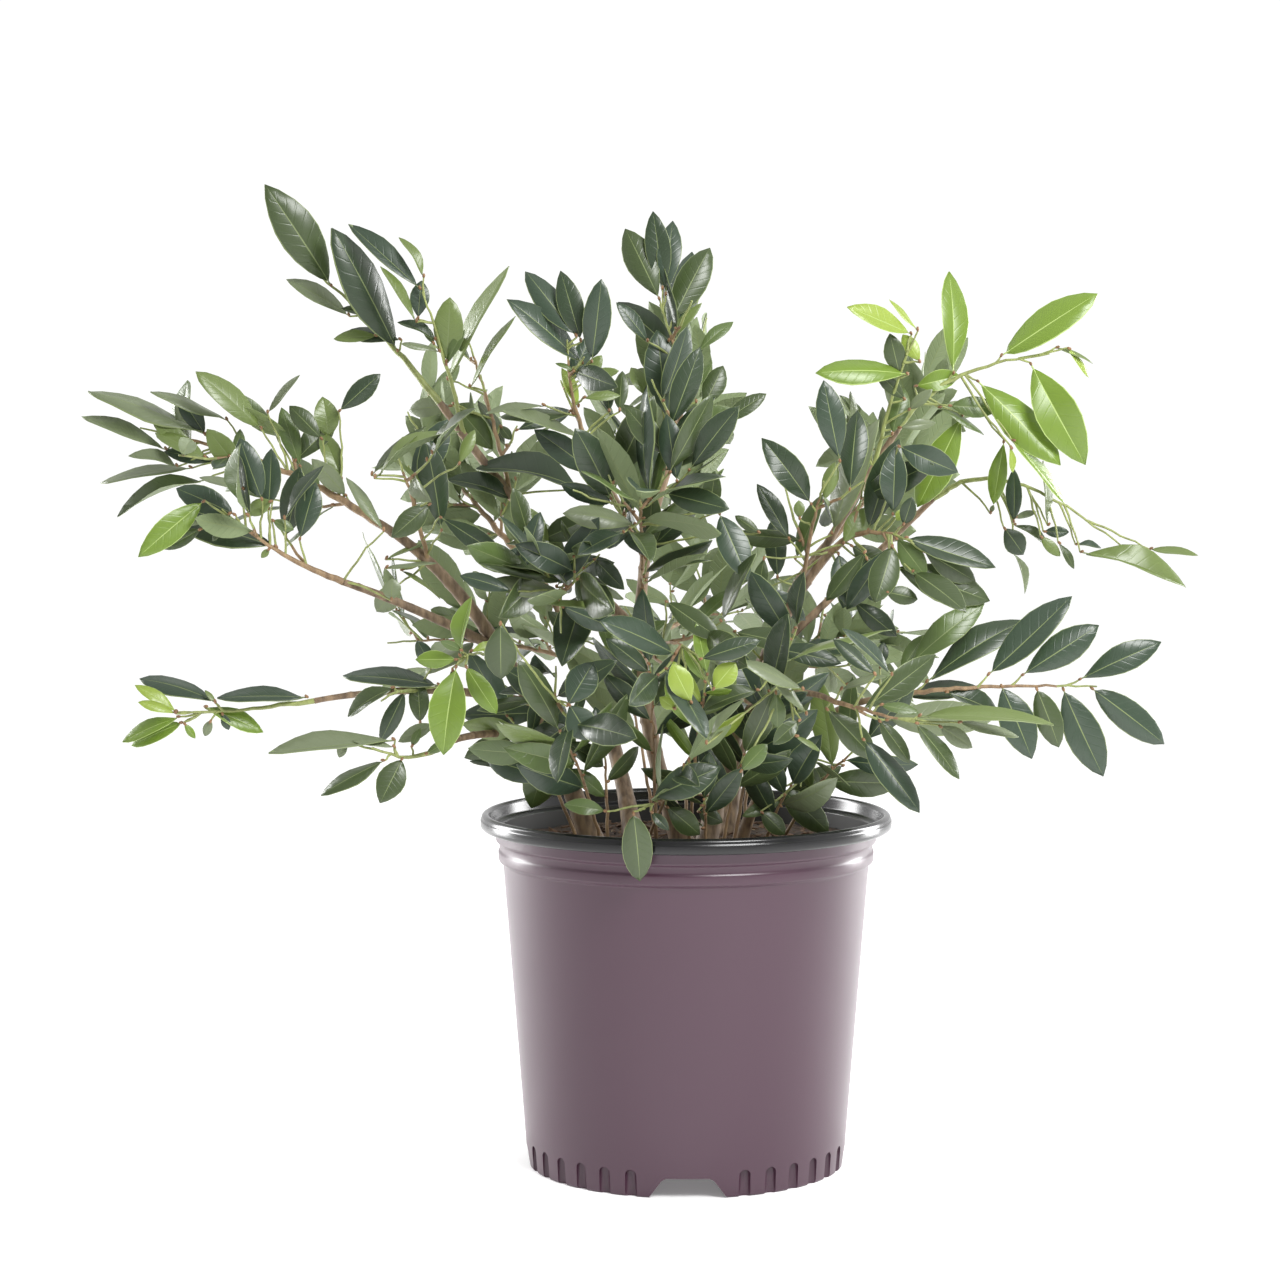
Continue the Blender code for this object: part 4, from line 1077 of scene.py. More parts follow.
# %% [markdown]
# ## Finishes
# Moulded plastic, bark, potting mix and leathery leaves differ mostly in how rough they are and in
# what relief they carry. Colours and numbers that are the same all over sit on the shader itself,
# and only what varies comes in through nodes. Patterns read each object's own coordinates, so they
# stay put when the view or the pose changes.

# %% Helpers for materials
class Finish:
    """A Principled material, with a short way to add nodes to it."""

    def __init__(self, name, colour, roughness, **values):
        self.material = bpy.data.materials.new(name)
        self.material.use_nodes = True
        self.tree = self.material.node_tree
        self.shader = self.tree.nodes["Principled BSDF"]
        self.shader.inputs["Base Color"].default_value = (*colour, 1)
        self.shader.inputs["Roughness"].default_value = roughness
        for label, value in values.items():
            self.shader.inputs[label.replace("_", " ")].default_value = value
        self.places = self.tree.nodes.new("ShaderNodeTexCoord").outputs["Object"]

    def add(self, kind, inputs=None, **settings):
        return new_node(self.tree, kind, inputs, **settings).outputs

    def maths(self, operation, *values):
        return self.add("ShaderNodeMath", dict(enumerate(values)), operation=operation)["Value"]

    def noise(self, scale, detail, vector=None):
        inputs = {"Vector": vector or self.places, "Scale": scale, "Detail": detail}
        return self.add("ShaderNodeTexNoise", inputs)["Fac"]

    def ramp(self, factor, *stops):
        """Two colours or greys at numbered stops."""
        node = new_node(self.tree, "ShaderNodeValToRGB", {"Fac": factor})
        for element, (place, colour) in zip(node.color_ramp.elements, stops):
            element.position = place
            element.color = (*(colour if isinstance(colour, tuple) else (colour,) * 3), 1)
        return node.outputs["Color"]

    def drive(self, label, output):
        self.tree.links.new(output, self.shader.inputs[label])

    def bump(self, height, strength, distance):
        inputs = {"Height": height, "Strength": strength, "Distance": distance}
        self.drive("Normal", self.add("ShaderNodeBump", inputs)["Normal"])


# %% [markdown]
# ## Moulded plastic
# The pot is a satin purple skin with a glossy black lip and a dusty black inside. Real mouldings have
# a faint pebble and a gloss that drifts from place to place. A scratched or blotchy colour would look
# like dirt at this size, so the colour stays plain and only the gloss and the pebble vary.

# %% Finishes of the pot
GLOSSIER, DULLER = 0.02, 0.05


def pot_finish(name, colour, roughness):
    """Moulded plastic: a fine pebbled skin, and a gloss that changes slowly round the pot."""
    made = Finish(name, colour, roughness)
    drift = made.noise(scale=7.0, detail=2.0)
    made.drive("Roughness", made.ramp(drift, (0.1, roughness - GLOSSIER), (0.9, roughness + DULLER)))
    made.bump(made.noise(scale=900.0, detail=2.0), strength=0.05, distance=0.0004)
    return made.material


purple = pot_finish("pot_purple", (0.058, 0.025, 0.042), 0.30)
black = pot_finish("rim_black", (0.005, 0.005, 0.0055), 0.20)
inside = pot_finish("inside_dusty", (0.007, 0.006, 0.005), 0.62)
print([finish.name for finish in (purple, black, inside)])

# %% [markdown]
# ## Crumbs and chips
# Potting mix is composted bark: nearly black crumbs, brown chips and a few pale ones. One recipe does
# for all three, a coarse noise between two browns and a finer one for the broken surface.

# %% Finishes of the mix
def crumb_finish(name, dark, light):
    made = Finish(name, dark, 0.9)
    mottle = made.noise(scale=160.0, detail=6.0)
    made.drive("Base Color", made.ramp(mottle, (0.35, dark), (0.70, light)))
    made.bump(made.noise(scale=700.0, detail=5.0), strength=0.6, distance=0.001)
    return made.material


soil_dark = crumb_finish("potting_mix", (0.020, 0.011, 0.007), (0.075, 0.044, 0.026))
chip_brown = crumb_finish("bark_chip", (0.052, 0.026, 0.013), (0.140, 0.080, 0.045))
chip_pale = crumb_finish("pale_chip", (0.300, 0.220, 0.140), (0.420, 0.330, 0.230))

# %% [markdown]
# ## Bark
# Young bark is smooth and streaked along the stem. Noise that is stretched upwards gives the streaks,
# because most shoots rise. The same recipe turns from brown stems to olive twigs and reddish buds.

# %% Finishes of stems, twigs and buds
STREAK_STRETCH = (1.0, 1.0, 0.22)


def bark_finish(name, dark, light, roughness):
    made = Finish(name, dark, roughness)
    stretch = made.add("ShaderNodeMapping", {"Vector": made.places, "Scale": STREAK_STRETCH})["Vector"]
    streaks = made.noise(scale=260.0, detail=6.0, vector=stretch)
    made.drive("Base Color", made.ramp(streaks, (0.32, dark), (0.68, light)))
    made.bump(streaks, strength=0.5, distance=0.0006)
    return made.material


bark = bark_finish("bark", (0.085, 0.053, 0.030), (0.255, 0.175, 0.105), 0.65)
twig_brown = bark_finish("twig_brown", (0.145, 0.088, 0.045), (0.300, 0.200, 0.105), 0.60)
twig_green = bark_finish("twig_green", (0.160, 0.180, 0.055), (0.290, 0.330, 0.110), 0.50)
bud_brown = bark_finish("bud_brown", (0.130, 0.065, 0.025), (0.270, 0.150, 0.070), 0.55)

# %% [markdown]
# ## Leathery leaves
# The upper side is glossy and dark, the underside dull and pale, and the rib paler still. Side veins
# run out from the rib and a little forward, so their pattern follows the blade's own coordinates:
# across it from -1 to 1, and along it from 0 to 1. A picture of a leaf would repeat on every leaf, and
# a sunk line in the relief is enough to catch the light.

# %% Finishes of the leaves
UPPER = {
    "deep": (0.0270, 0.0450, 0.0210),
    "blue": (0.0320, 0.0530, 0.0310),
    "dark": (0.0460, 0.0680, 0.0230),
    "mid": (0.0780, 0.1180, 0.0330),
    "moss": (0.1250, 0.1700, 0.0480),
    # The sixth tint is painted sheen: a lit leaf's pale gloss put into its base colour, and also an
    # underside's pale.
    "grey": (0.1400, 0.1700, 0.0920),
    "lime": (0.1320, 0.2080, 0.0250),
    "fresh": (0.2350, 0.3150, 0.0470),
}
UNDER = {"old": (0.1550, 0.2000, 0.0900), "new": (0.2300, 0.3300, 0.0800)}
RIBS = {"old": (0.1600, 0.2000, 0.0780), "new": (0.3300, 0.4300, 0.1300)}
VEIN_PAIRS = 9
VEIN_SLANT = -0.16


def leaf_finish(name, colour, roughness, relief):
    """A leathery leaf: side veins that run out from the rib, sunk a little into a glossy skin."""
    made = Finish(name, colour, roughness, Specular_IOR_Level=0.5)
    flat = made.add("ShaderNodeUVMap", uv_map="blade")["UV"]
    blade = made.add("ShaderNodeSeparateXYZ", {"Vector": flat})
    shifted = made.maths("MULTIPLY_ADD", made.maths("ABSOLUTE", blade["X"]), VEIN_SLANT, blade["Y"])
    wave = made.maths("SINE", made.maths("MULTIPLY", shifted, 2 * math.pi * VEIN_PAIRS))
    made.bump(made.ramp(wave, (0.80, 1.0), (1.0, 0.0)), strength=relief, distance=0.0004)
    return made.material


leaf_materials = {}
for tint, colour in UPPER.items():
    leaf_materials["upper", tint] = leaf_finish("leaf_" + tint, colour, roughness=0.32, relief=0.22)
for age in UNDER:
    leaf_materials["under", age] = leaf_finish("underside_" + age, UNDER[age], roughness=0.60, relief=0.5)
    leaf_materials["rib", age] = Finish("rib_" + age, RIBS[age], roughness=0.45).material
print(len(bpy.data.materials), "materials")

# %% [markdown]
# ## The pot
# A nursery pot is a thin moulded shell: a rolled lip, two ridges under it, a straight tapering wall
# and a floor raised on a foot ring. Cylinders joined by booleans would leave sharp corners. Here the
# outline is drawn once from the middle of the floor, up the inside, over the lip and down the
# outside, and its corners are rounded first for the soft edges of moulded plastic. The ring of faces
# stays closed, so the shell has its real thickness.

# %% The pot's profile
FOOT_RADIUS = 0.1085
COLLAR_RADIUS = 0.1297
BODY_TOP_RADIUS = 0.1246
BODY_TOP_HEIGHT = 0.2068
WALL = 0.0023
FLOOR_UNDERSIDE = 0.015
FLOOR_TOP = 0.0178
HUB_RADIUS = 0.015
CORNER = 0.0009
CORNER_PIECES = 3
MOST_OF_A_SIDE = 0.45


def rounded(profile, corner):
    """The profile with each corner cut back and turned into a short arc."""
    points = [Vector(p) for p in profile]
    result = [points[0]]
    for before, here, after in zip(points, points[1:], points[2:]):
        shorter = ((here - before).length * MOST_OF_A_SIDE, (after - here).length * MOST_OF_A_SIDE)
        cut = min(corner, *shorter)
        start = here + (before - here).normalized() * cut
        end = here + (after - here).normalized() * cut
        result += bend(start, here, end, CORNER_PIECES)
    return result + [points[-1]]


inner = [
    (0, FLOOR_TOP),
    (FOOT_RADIUS - 0.0046, FLOOR_TOP),
    (FOOT_RADIUS - 0.0036, FLOOR_TOP + 0.008),
    (FOOT_RADIUS - WALL + 0.0014, FLOOR_TOP + 0.018),
    (BODY_TOP_RADIUS - WALL, BODY_TOP_HEIGHT + 0.0012),
    (COLLAR_RADIUS - WALL - 0.0015, BODY_TOP_HEIGHT + 0.0036),
    (COLLAR_RADIUS - WALL, POT_HEIGHT - 0.0106),
    (RIM_RADIUS - 0.0072, POT_HEIGHT - 0.0090),
]
lip = [
    (RIM_RADIUS - 0.0062, POT_HEIGHT - 0.0020),
    (RIM_RADIUS - 0.0050, POT_HEIGHT - 0.0002),
    (RIM_RADIUS - 0.0032, POT_HEIGHT),
    (RIM_RADIUS - 0.0010, POT_HEIGHT - 0.0014),
    (RIM_RADIUS - 0.0006, POT_HEIGHT - 0.0036),
    (RIM_RADIUS, POT_HEIGHT - 0.0044),
    (RIM_RADIUS, POT_HEIGHT - 0.0088),
    (RIM_RADIUS - 0.0016, POT_HEIGHT - 0.0106),
]
outer = [
    (COLLAR_RADIUS, POT_HEIGHT - 0.0112),
    (COLLAR_RADIUS, POT_HEIGHT - 0.0182),
    (COLLAR_RADIUS - 0.0024, POT_HEIGHT - 0.0200),
    (COLLAR_RADIUS - 0.0026, POT_HEIGHT - 0.0245),
    (COLLAR_RADIUS - 0.0018, POT_HEIGHT - 0.0258),
    (COLLAR_RADIUS - 0.0020, BODY_TOP_HEIGHT + 0.0024),
    (BODY_TOP_RADIUS, BODY_TOP_HEIGHT),
    (FOOT_RADIUS + 0.0012, FLOOR_TOP),
    (FOOT_RADIUS, 0.0012),
    (FOOT_RADIUS - 0.0012, 0),
    (FOOT_RADIUS - 0.0060, 0),
    (FOOT_RADIUS - 0.0060, FLOOR_UNDERSIDE),
    (HUB_RADIUS + 0.002, FLOOR_UNDERSIDE),
    (HUB_RADIUS, 0),
    (0, 0),
]
profile = rounded(inner + lip + outer, CORNER)
print(len(profile), "points down the profile")

# %% [markdown]
# ## Turn it
# The Screw modifier turns the outline round the pot's axis, as a potter's wheel would. With 288 steps
# the lip still looks round up close. The outline's first and last points lie on the axis, so their
# copies are merged.

# %% Turn the profile
POT_STEPS = 288
MERGE_DISTANCE = 0.00001
mesh = bpy.data.meshes.new("pot_profile")
mesh.from_pydata([(p[0], 0, p[1]) for p in profile], [(i, i + 1) for i in range(len(profile) - 1)], [])
pot_shell = shown("pot_shell", mesh)
turn = pot_shell.modifiers.new("turn", "SCREW")
turn.steps = turn.render_steps = POT_STEPS
turn.use_merge_vertices = True
turn.merge_threshold = MERGE_DISTANCE
print("the profile turns in", POT_STEPS, "steps")

# %% [markdown]
# ## Copies on points
# The cuts round the pot's foot repeat, and so do leaves and buds on their shoots. One kind of tree
# does for all: it sets a shape on each point, turned by two directions that the point carries, and
# deals out materials by the face's part and the point's tint. Copies made by hand or by an array
# couldn't be turned one by one.

# %% A tree that sets copies on points
PART_CODE = 100


def copies_tree(name, finishes):
    """Copies of a collection's shapes on points, with a material for each part and tint."""
    tree = Tree(name, {"Shapes": ("Collection", None)})
    shapes = tree.add("GeometryNodeCollectionInfo", {
        "Collection": tree.given["Shapes"], "Separate Children": True, "Reset Children": True})
    turned_by = tree.add("FunctionNodeAxesToRotation", {
        "Primary Axis": tree.named("along", "FLOAT_VECTOR"),
        "Secondary Axis": tree.named("face", "FLOAT_VECTOR")}, primary_axis="Y", secondary_axis="Z")
    placed = tree.add("GeometryNodeInstanceOnPoints", {
        "Points": tree.given["Geometry"], "Instance": shapes, "Pick Instance": True,
        "Instance Index": tree.named("shape", "INT"), "Rotation": turned_by,
        "Scale": tree.named("size", "FLOAT_VECTOR")})
    made = tree.add("GeometryNodeRealizeInstances", {"Geometry": placed})
    code = tree.add("ShaderNodeMath", {
        0: tree.named("part", "INT"), 1: PART_CODE, 2: tree.named("tint", "INT")},
        operation="MULTIPLY_ADD")
    for (part, tint), finish in finishes.items():
        chosen = tree.add("FunctionNodeCompare", {2: code, 3: part * PART_CODE + tint},
                          data_type="INT", operation="EQUAL")
        made = tree.add("GeometryNodeSetMaterial", {
            "Geometry": made, "Selection": chosen, "Material": finish})
    return tree.end(made)


def points_object(name, rows):
    """Points with the directions, size and shape of what will stand on each."""
    mesh = bpy.data.meshes.new(name)
    mesh.from_pydata([row["at"] for row in rows], [], [])
    for label in ("along", "face", "size", "shape", "tint"):
        values = np.array([row.get(label, 0) for row in rows]).reshape(-1)
        kind, field = ("INT", "value") if label in ("shape", "tint") else ("FLOAT_VECTOR", "vector")
        mesh.attributes.new(label, kind, "POINT").data.foreach_set(field, values)
    return shown(name, mesh)


def shape_collection(name, meshes):
    made = bpy.data.collections.new(name)
    for i, mesh in enumerate(meshes):
        made.objects.link(bpy.data.objects.new(f"{name}_{i}", mesh))
    return made


# %% [markdown]
# ## Flutes and water notches
# Round the foot run short upright flutes with rounded heads, six between each two of the four notches
# that let water out. Both are hollows in the real moulding, so cutters are set round the foot and
# taken away from the shell. A bump map would leave the pot's lower edge straight, and there the
# flutes show most.

# %% Cut the flutes and notches
FLUTE_ANGLES = (20, 30, 40, 50, 60, 70)
FLUTE_HEIGHT = 0.0185
FLUTE_WIDTH = 0.0085
FLUTE_DEPTH = 0.0034
FLUTE_START = -0.004
NOTCH_HEIGHT = 0.0135
NOTCH_WIDTH_LOW = 0.052
NOTCH_WIDTH_HIGH = 0.032
NOTCH_DEPTH = 0.030
NOTCH_CORNER = 0.003
QUARTERS = range(0, 360, 90)


def flute_shape():
    """An upright capsule, flattened outwards, so that a cut leaves a round-headed hollow."""
    bm = bmesh.new()
    bmesh.ops.create_uvsphere(bm, u_segments=20, v_segments=12, radius=1)
    dome = FLUTE_WIDTH / 2
    for vert in bm.verts:
        shift = FLUTE_HEIGHT - dome if vert.co.z > 0.01 else FLUTE_START
        vert.co = Vector((vert.co.x * dome, vert.co.y * FLUTE_DEPTH, vert.co.z * dome + shift))
    return mesh_of("flute_shape", bm)


def notch_shape():
    """A block that narrows upwards, with its upper corners rounded."""
    bm = bmesh.new()
    bmesh.ops.create_cube(bm, size=1)
    for vert in bm.verts:
        high = vert.co.z > 0
        vert.co.x *= NOTCH_WIDTH_HIGH if high else NOTCH_WIDTH_LOW
        vert.co.y *= NOTCH_DEPTH
        vert.co.z = NOTCH_HEIGHT if high else -GAP
    top = [edge for edge in bm.edges if all(vert.co.z > 0 for vert in edge.verts)
           and abs(edge.verts[0].co.x - edge.verts[1].co.x) < 1e-6]
    bmesh.ops.bevel(bm, geom=top, offset=NOTCH_CORNER, segments=4, profile=0.5, affect="EDGES")
    return mesh_of("notch_shape", bm)


def ring_row(degrees, shape):
    turned = math.radians(degrees)
    out = (math.cos(turned), math.sin(turned), 0)
    return {"at": tuple(FOOT_RADIUS * v for v in out), "along": out, "face": (0, 0, 1),
            "size": (1, 1, 1), "shape": shape}


ring = [ring_row(quarter + turned, 0) for quarter in QUARTERS for turned in FLUTE_ANGLES]
ring += [ring_row(quarter, 1) for quarter in QUARTERS]
cutters = copies_tree("ring_of_cutters", {}).run(
    points_object("foot_cutters", ring), shapes=shape_collection("cut", [flute_shape(), notch_shape()]))
cut = pot_shell.modifiers.new("foot cuts", "BOOLEAN")
cut.operation = "DIFFERENCE"
cut.object = cutters
mesh = finished_mesh(pot_shell)
for done in (pot_shell, cutters):
    bpy.data.objects.remove(done, do_unlink=True)
pot_shell = shown("pot_shell", mesh)
print(len(ring), "cuts round the foot")

# %% [markdown]
# ## Two colours of plastic
# The pot is moulded in two layers: purple outside, black for the lip and the inside. The shell is one
# mesh, so each face takes its colour from where it lies and which way it faces.

# %% Colours by face
LIP_BOTTOM = POT_HEIGHT - 0.0109
FLOOR_BOTTOM = FLOOR_UNDERSIDE + 0.001
INWARDS = -0.2
UPWARDS = 0.5
BELOW_COLLAR = 0.2
PURPLE_FACE, BLACK_FACE, INSIDE_FACE = range(3)
SHARP_ANGLE = math.radians(38)
for finish in (purple, black, inside):
    mesh.materials.append(finish)
for face in mesh.polygons:
    centre = face.center
    outwards = Vector((centre.x, centre.y, 0)).normalized().dot(face.normal)
    inner_side = outwards < INWARDS or face.normal.z > UPWARDS and centre.z < BELOW_COLLAR
    if centre.z > LIP_BOTTOM:
        face.material_index = BLACK_FACE
    elif inner_side and centre.z > FLOOR_BOTTOM:
        face.material_index = INSIDE_FACE
    else:
        face.material_index = PURPLE_FACE
    face.use_smooth = True
mesh.set_sharp_from_angle(angle=SHARP_ANGLE)
stand_in_for(pot_shell, ["pot"])

# %% [markdown]
# ## The potting mix
# The mix is a loose bark compost, level to within a few millimetres. A low closed body carries it: a
# disc of rings whose heights follow a coarse and a fine noise, a short wall and a flat underside. A
# plain disc with displacement would do the same, but it would need a modifier left on it.

# %% Body of the mix
SOIL_RADIUS = 0.1255
SOIL_FOOT_RADIUS = 0.1212
SOIL_DEPTH = 0.012
SOIL_RINGS = 44
SOIL_SPOKES = 120
SOIL_SUNK = 0.0006
CRUMB_RELIEF = 0.0022
CRUMB_SCALE = 90
CRUMB_SLICE = 0.3
CRUMB_DETAIL = 5
HOLLOW_RELIEF = 0.0012
HOLLOW_SCALE = 22
HOLLOW_SLICE = 1.7


def soil_height(x, y):
    crumbs = noise.fractal(Vector((x, y, CRUMB_SLICE)) * CRUMB_SCALE, 1.0, 2.0, CRUMB_DETAIL)
    hollows = noise.noise(Vector((x, y, HOLLOW_SLICE)) * HOLLOW_SCALE)
    return SOIL_HEIGHT - SOIL_SUNK + crumbs * CRUMB_RELIEF + HOLLOW_RELIEF * hollows


bm = bmesh.new()
rows = []
for ring_number in range(1, SOIL_RINGS + 1):
    radius = SOIL_RADIUS * ring_number / SOIL_RINGS
    row = []
    for spoke in range(SOIL_SPOKES):
        turned = 2 * math.pi * spoke / SOIL_SPOKES
        x, y = radius * math.cos(turned), radius * math.sin(turned)
        row.append(bm.verts.new((x, y, soil_height(x, y))))
    rows.append(row)
inwards, bottom = SOIL_FOOT_RADIUS / SOIL_RADIUS, SOIL_HEIGHT - SOIL_DEPTH
rows.append([bm.verts.new((v.co.x * inwards, v.co.y * inwards, bottom)) for v in rows[-1]])
middle, under = bm.verts.new((0, 0, soil_height(0, 0))), bm.verts.new((0, 0, bottom))
for spoke in range(SOIL_SPOKES):
    after = (spoke + 1) % SOIL_SPOKES
    bm.faces.new((middle, rows[0][spoke], rows[0][after]))
    bm.faces.new((under, rows[-1][after], rows[-1][spoke]))
    for low, high in zip(rows, rows[1:]):
        bm.faces.new((low[spoke], high[spoke], high[after], low[after]))
for face in bm.faces:
    face.smooth = True
soil = shown("potting_mix", mesh_of("potting_mix", bm))
soil.data.materials.append(soil_dark)
stand_in_for(soil, ["soil"])

# %% [markdown]
# ## Loose bark on the mix
# Chips, crumbs, a few pale bits and thin dry splinters lie on the mix at every angle. A tree strews
# them over the open ground with a fixed seed. Each lump has only twenty faces, because there are
# hundreds, and they keep clear of the pot's wall.

# %% A tree that strews chips
CHIP_SIZE = (1.0, 0.5, 0.22)
CHIP_KINDS = 6
SPLINTER_SIZE = (1.0, 0.13, 0.10)
SPLINTER_KINDS = 4
LUMPINESS = (0.75, 1.2)


def chip_shape(seed, size):
    """A splinter of bark: a rough flat lump of twenty faces."""
    rng = random.Random(seed)
    bm = bmesh.new()
    bmesh.ops.create_icosphere(bm, subdivisions=1, radius=0.5)
    for vert in bm.verts:
        vert.co *= rng.uniform(*LUMPINESS)
        vert.co = Vector(a * b for a, b in zip(vert.co, size))
    return mesh_of("chip", bm)


def scatter_tree():
    """Shapes strewn over a surface at random turns and sizes."""
    tree = Tree("strewn", {
        "Shapes": ("Collection", None), "Density": ("Float", 1000.0), "Smallest": ("Float", 0.005),
        "Largest": ("Float", 0.012), "Seed": ("Int", 1), "Finish": ("Material", None)})
    seed = tree.given["Seed"]
    strewn = tree.add("GeometryNodeDistributePointsOnFaces", {
        "Mesh": tree.given["Geometry"], "Density": tree.given["Density"], "Seed": seed})
    turned = tree.add("FunctionNodeRandomValue", {
        0: (-0.5, -0.5, 0), 1: (0.5, 0.5, 2 * math.pi), "Seed": seed}, data_type="FLOAT_VECTOR")
    sized = tree.add("FunctionNodeRandomValue", {
        2: tree.given["Smallest"], 3: tree.given["Largest"], "Seed": seed}, data_type="FLOAT")
    picked = tree.add("FunctionNodeRandomValue", {4: 0, 5: 9, "Seed": seed}, data_type="INT")
    shapes = tree.add("GeometryNodeCollectionInfo", {
        "Collection": tree.given["Shapes"], "Separate Children": True, "Reset Children": True})
    turn = tree.add("FunctionNodeEulerToRotation", {"Euler": turned})
    placed = tree.add("GeometryNodeInstanceOnPoints", {
        "Points": strewn, "Instance": shapes, "Pick Instance": True, "Instance Index": picked,
        "Rotation": turn, "Scale": sized})
    made = tree.add("GeometryNodeRealizeInstances", {"Geometry": placed})
    made = tree.add("GeometryNodeSetMaterial", {"Geometry": made, "Material": tree.given["Finish"]})
    return tree.end(made)


strewn = scatter_tree()
chips = shape_collection("chip", [chip_shape(i, CHIP_SIZE) for i in range(CHIP_KINDS)])
splinters = shape_collection("splinter", [chip_shape(i, SPLINTER_SIZE) for i in range(SPLINTER_KINDS)])

# %% [markdown]
# ## Strew it
# Each row gives a piece's name, its shapes, how many fall on a square metre, the smallest and the
# largest size in metres, the seed and the finish.

# %% Strew the chips
GROUND_RADIUS = 0.117
STREWN = (
    ("bark_chips", chips, 9000.0, 0.005, 0.013, 3, chip_brown),
    ("bark_crumbs", chips, 16000.0, 0.002, 0.005, 5, soil_dark),
    ("pale_chips", chips, 900.0, 0.003, 0.009, 8, chip_pale),
    ("dry_splinters", splinters, 1500.0, 0.010, 0.026, 13, chip_brown),
)


def open_ground(name):
    """The soil's upper side, as far out as loose bits may lie without reaching the wall."""
    bm = bmesh.new()
    bm.from_mesh(soil.data)
    low = SOIL_HEIGHT - SOIL_DEPTH / 2
    outside = [v for v in bm.verts if v.co.xy.length > GROUND_RADIUS or v.co.z < low]
    bmesh.ops.delete(bm, geom=outside, context="VERTS")
    return shown(name, mesh_of(name, bm))


for name, shapes, density, smallest, largest, seed, finish in STREWN:
    strewing = strewn.run(open_ground(name), shapes=shapes, density=density, smallest=smallest,
                          largest=largest, seed=seed, finish=finish)
    stand_in_for(strewing)

# %% [markdown]
# ## Stems and boughs
# Young bark has long shallow ridges, fine grain and a swollen scar where each old leaf stood. Each
# limb follows the same curve and taper as its solid, and a ring of points is carried along it
# without twisting, pushed in and out a little by noise. Relief in the mesh shows on the limb's
# outline and in its shape, which bump in a material doesn't.

# %% A skin along a path
def frames_along(path):
    """Two directions across the path at each of its points, carried on without twisting."""
    result = []
    across_now = (path[1] - path[0]).orthogonal().normalized()
    for i in range(len(path)):
        ahead = (path[min(i + 1, len(path) - 1)] - path[max(i - 1, 0)]).normalized()
        across_now = (across_now - ahead * across_now.dot(ahead)).normalized()
        result.append((across_now.copy(), ahead.cross(across_now)))
    return result


def add_skin(bm, path, radii, sides, relief):
    """A closed round skin along a path. relief gives a share of the radius at a ring and an angle."""
    rings = []
    for i, (point, radius, (one, two)) in enumerate(zip(path, radii, frames_along(path))):
        ring = []
        for side in range(sides):
            turned = 2 * math.pi * side / sides
            out = one * math.cos(turned) + two * math.sin(turned)
            ring.append(bm.verts.new(point + out * radius * relief(i, turned, point, out)))
        rings.append(ring)
    for low, high in zip(rings, rings[1:]):
        for side in range(sides):
            after = (side + 1) % sides
            bm.faces.new((low[side], low[after], high[after], high[side])).smooth = True
    bm.faces.new(list(reversed(rings[0])))
    bm.faces.new(rings[-1])


# %% [markdown]
# ## Bark on every limb
# The joints at the limbs' feet are sunk: a stem's foot 6 mm into the mix, a bough's only a little
# into its parent. The scars turn round the limb by the same golden angle as its twigs did. Ridges
# and grain are noise, with one scale round the limb and another along it.

# %% Limbs with their relief
LIMB_SIDES = 14
RING_STEP = 0.0022
FEWEST_RINGS = 8
STEM_SUNK = 0.006
BOUGH_SUNK = 0.0006
SCAR_STEP = 0.021
SCAR_HEIGHT = 0.0016
SCAR_SWELL = 0.05
SCAR_FACE = 0.17
SCAR_SHARPNESS = 3
BARK_MEAN = 0.97
RIDGES = 0.06
RIDGES_ROUND, RIDGES_ALONG = 2.6, 55
GRAIN = 0.035
GRAIN_ROUND, GRAIN_ALONG = 9, 420


def bark_relief(scar_turn):
    """How far the bark stands out at a ring and an angle, as a share of the limb's radius."""
    def relief(i, turned, point, out):
        scar = i * RING_STEP / SCAR_STEP
        near = math.exp(-((scar - round(scar)) * SCAR_STEP / SCAR_HEIGHT) ** 2)
        faced = max(0.0, math.cos(turned - scar_turn - round(scar) * GOLDEN_ANGLE))
        swell = near * (SCAR_SWELL + SCAR_FACE * faced ** SCAR_SHARPNESS)
        ridges = noise.noise(out * RIDGES_ROUND + point * RIDGES_ALONG)
        grain = noise.noise(point * GRAIN_ALONG + out * GRAIN_ROUND)
        return BARK_MEAN + RIDGES * ridges + GRAIN * grain + swell
    return relief


bm = bmesh.new()
for limb in LIMBS:
    pieces = max(FEWEST_RINGS, int(path_length(coarse[limb.name]) / RING_STEP))
    path = limb_path(limb, coarse, pieces)
    radii = limb_radii(limb, path)
    sunk = BOUGH_SUNK if limb.parent else STEM_SUNK
    foot = path[0] - (path[1] - path[0]).normalized() * sunk
    relief = bark_relief(random.Random(limb.name).uniform(0, 6))
    add_skin(bm, [foot] + path, [radii[0]] + radii, LIMB_SIDES, relief)
stems = shown("stems_and_boughs", mesh_of("stems_and_boughs", bm))
stems.data.materials.append(bark)
stand_in_for(stems, [limb.name for limb in LIMBS])

# %% [markdown]
# ## Twigs
# Shoots are only a line and a radius, so a tree can turn them into tubes: the lines become curves,
# and a circle is swept along them at each point's radius. That is lighter than a skin built by hand,
# and twigs are too thin for relief. The oldest are brown, the newest olive.

# %% A tree that sweeps shoots
YOUNG_FROM = 0.5
TWIG_SIDES = 7


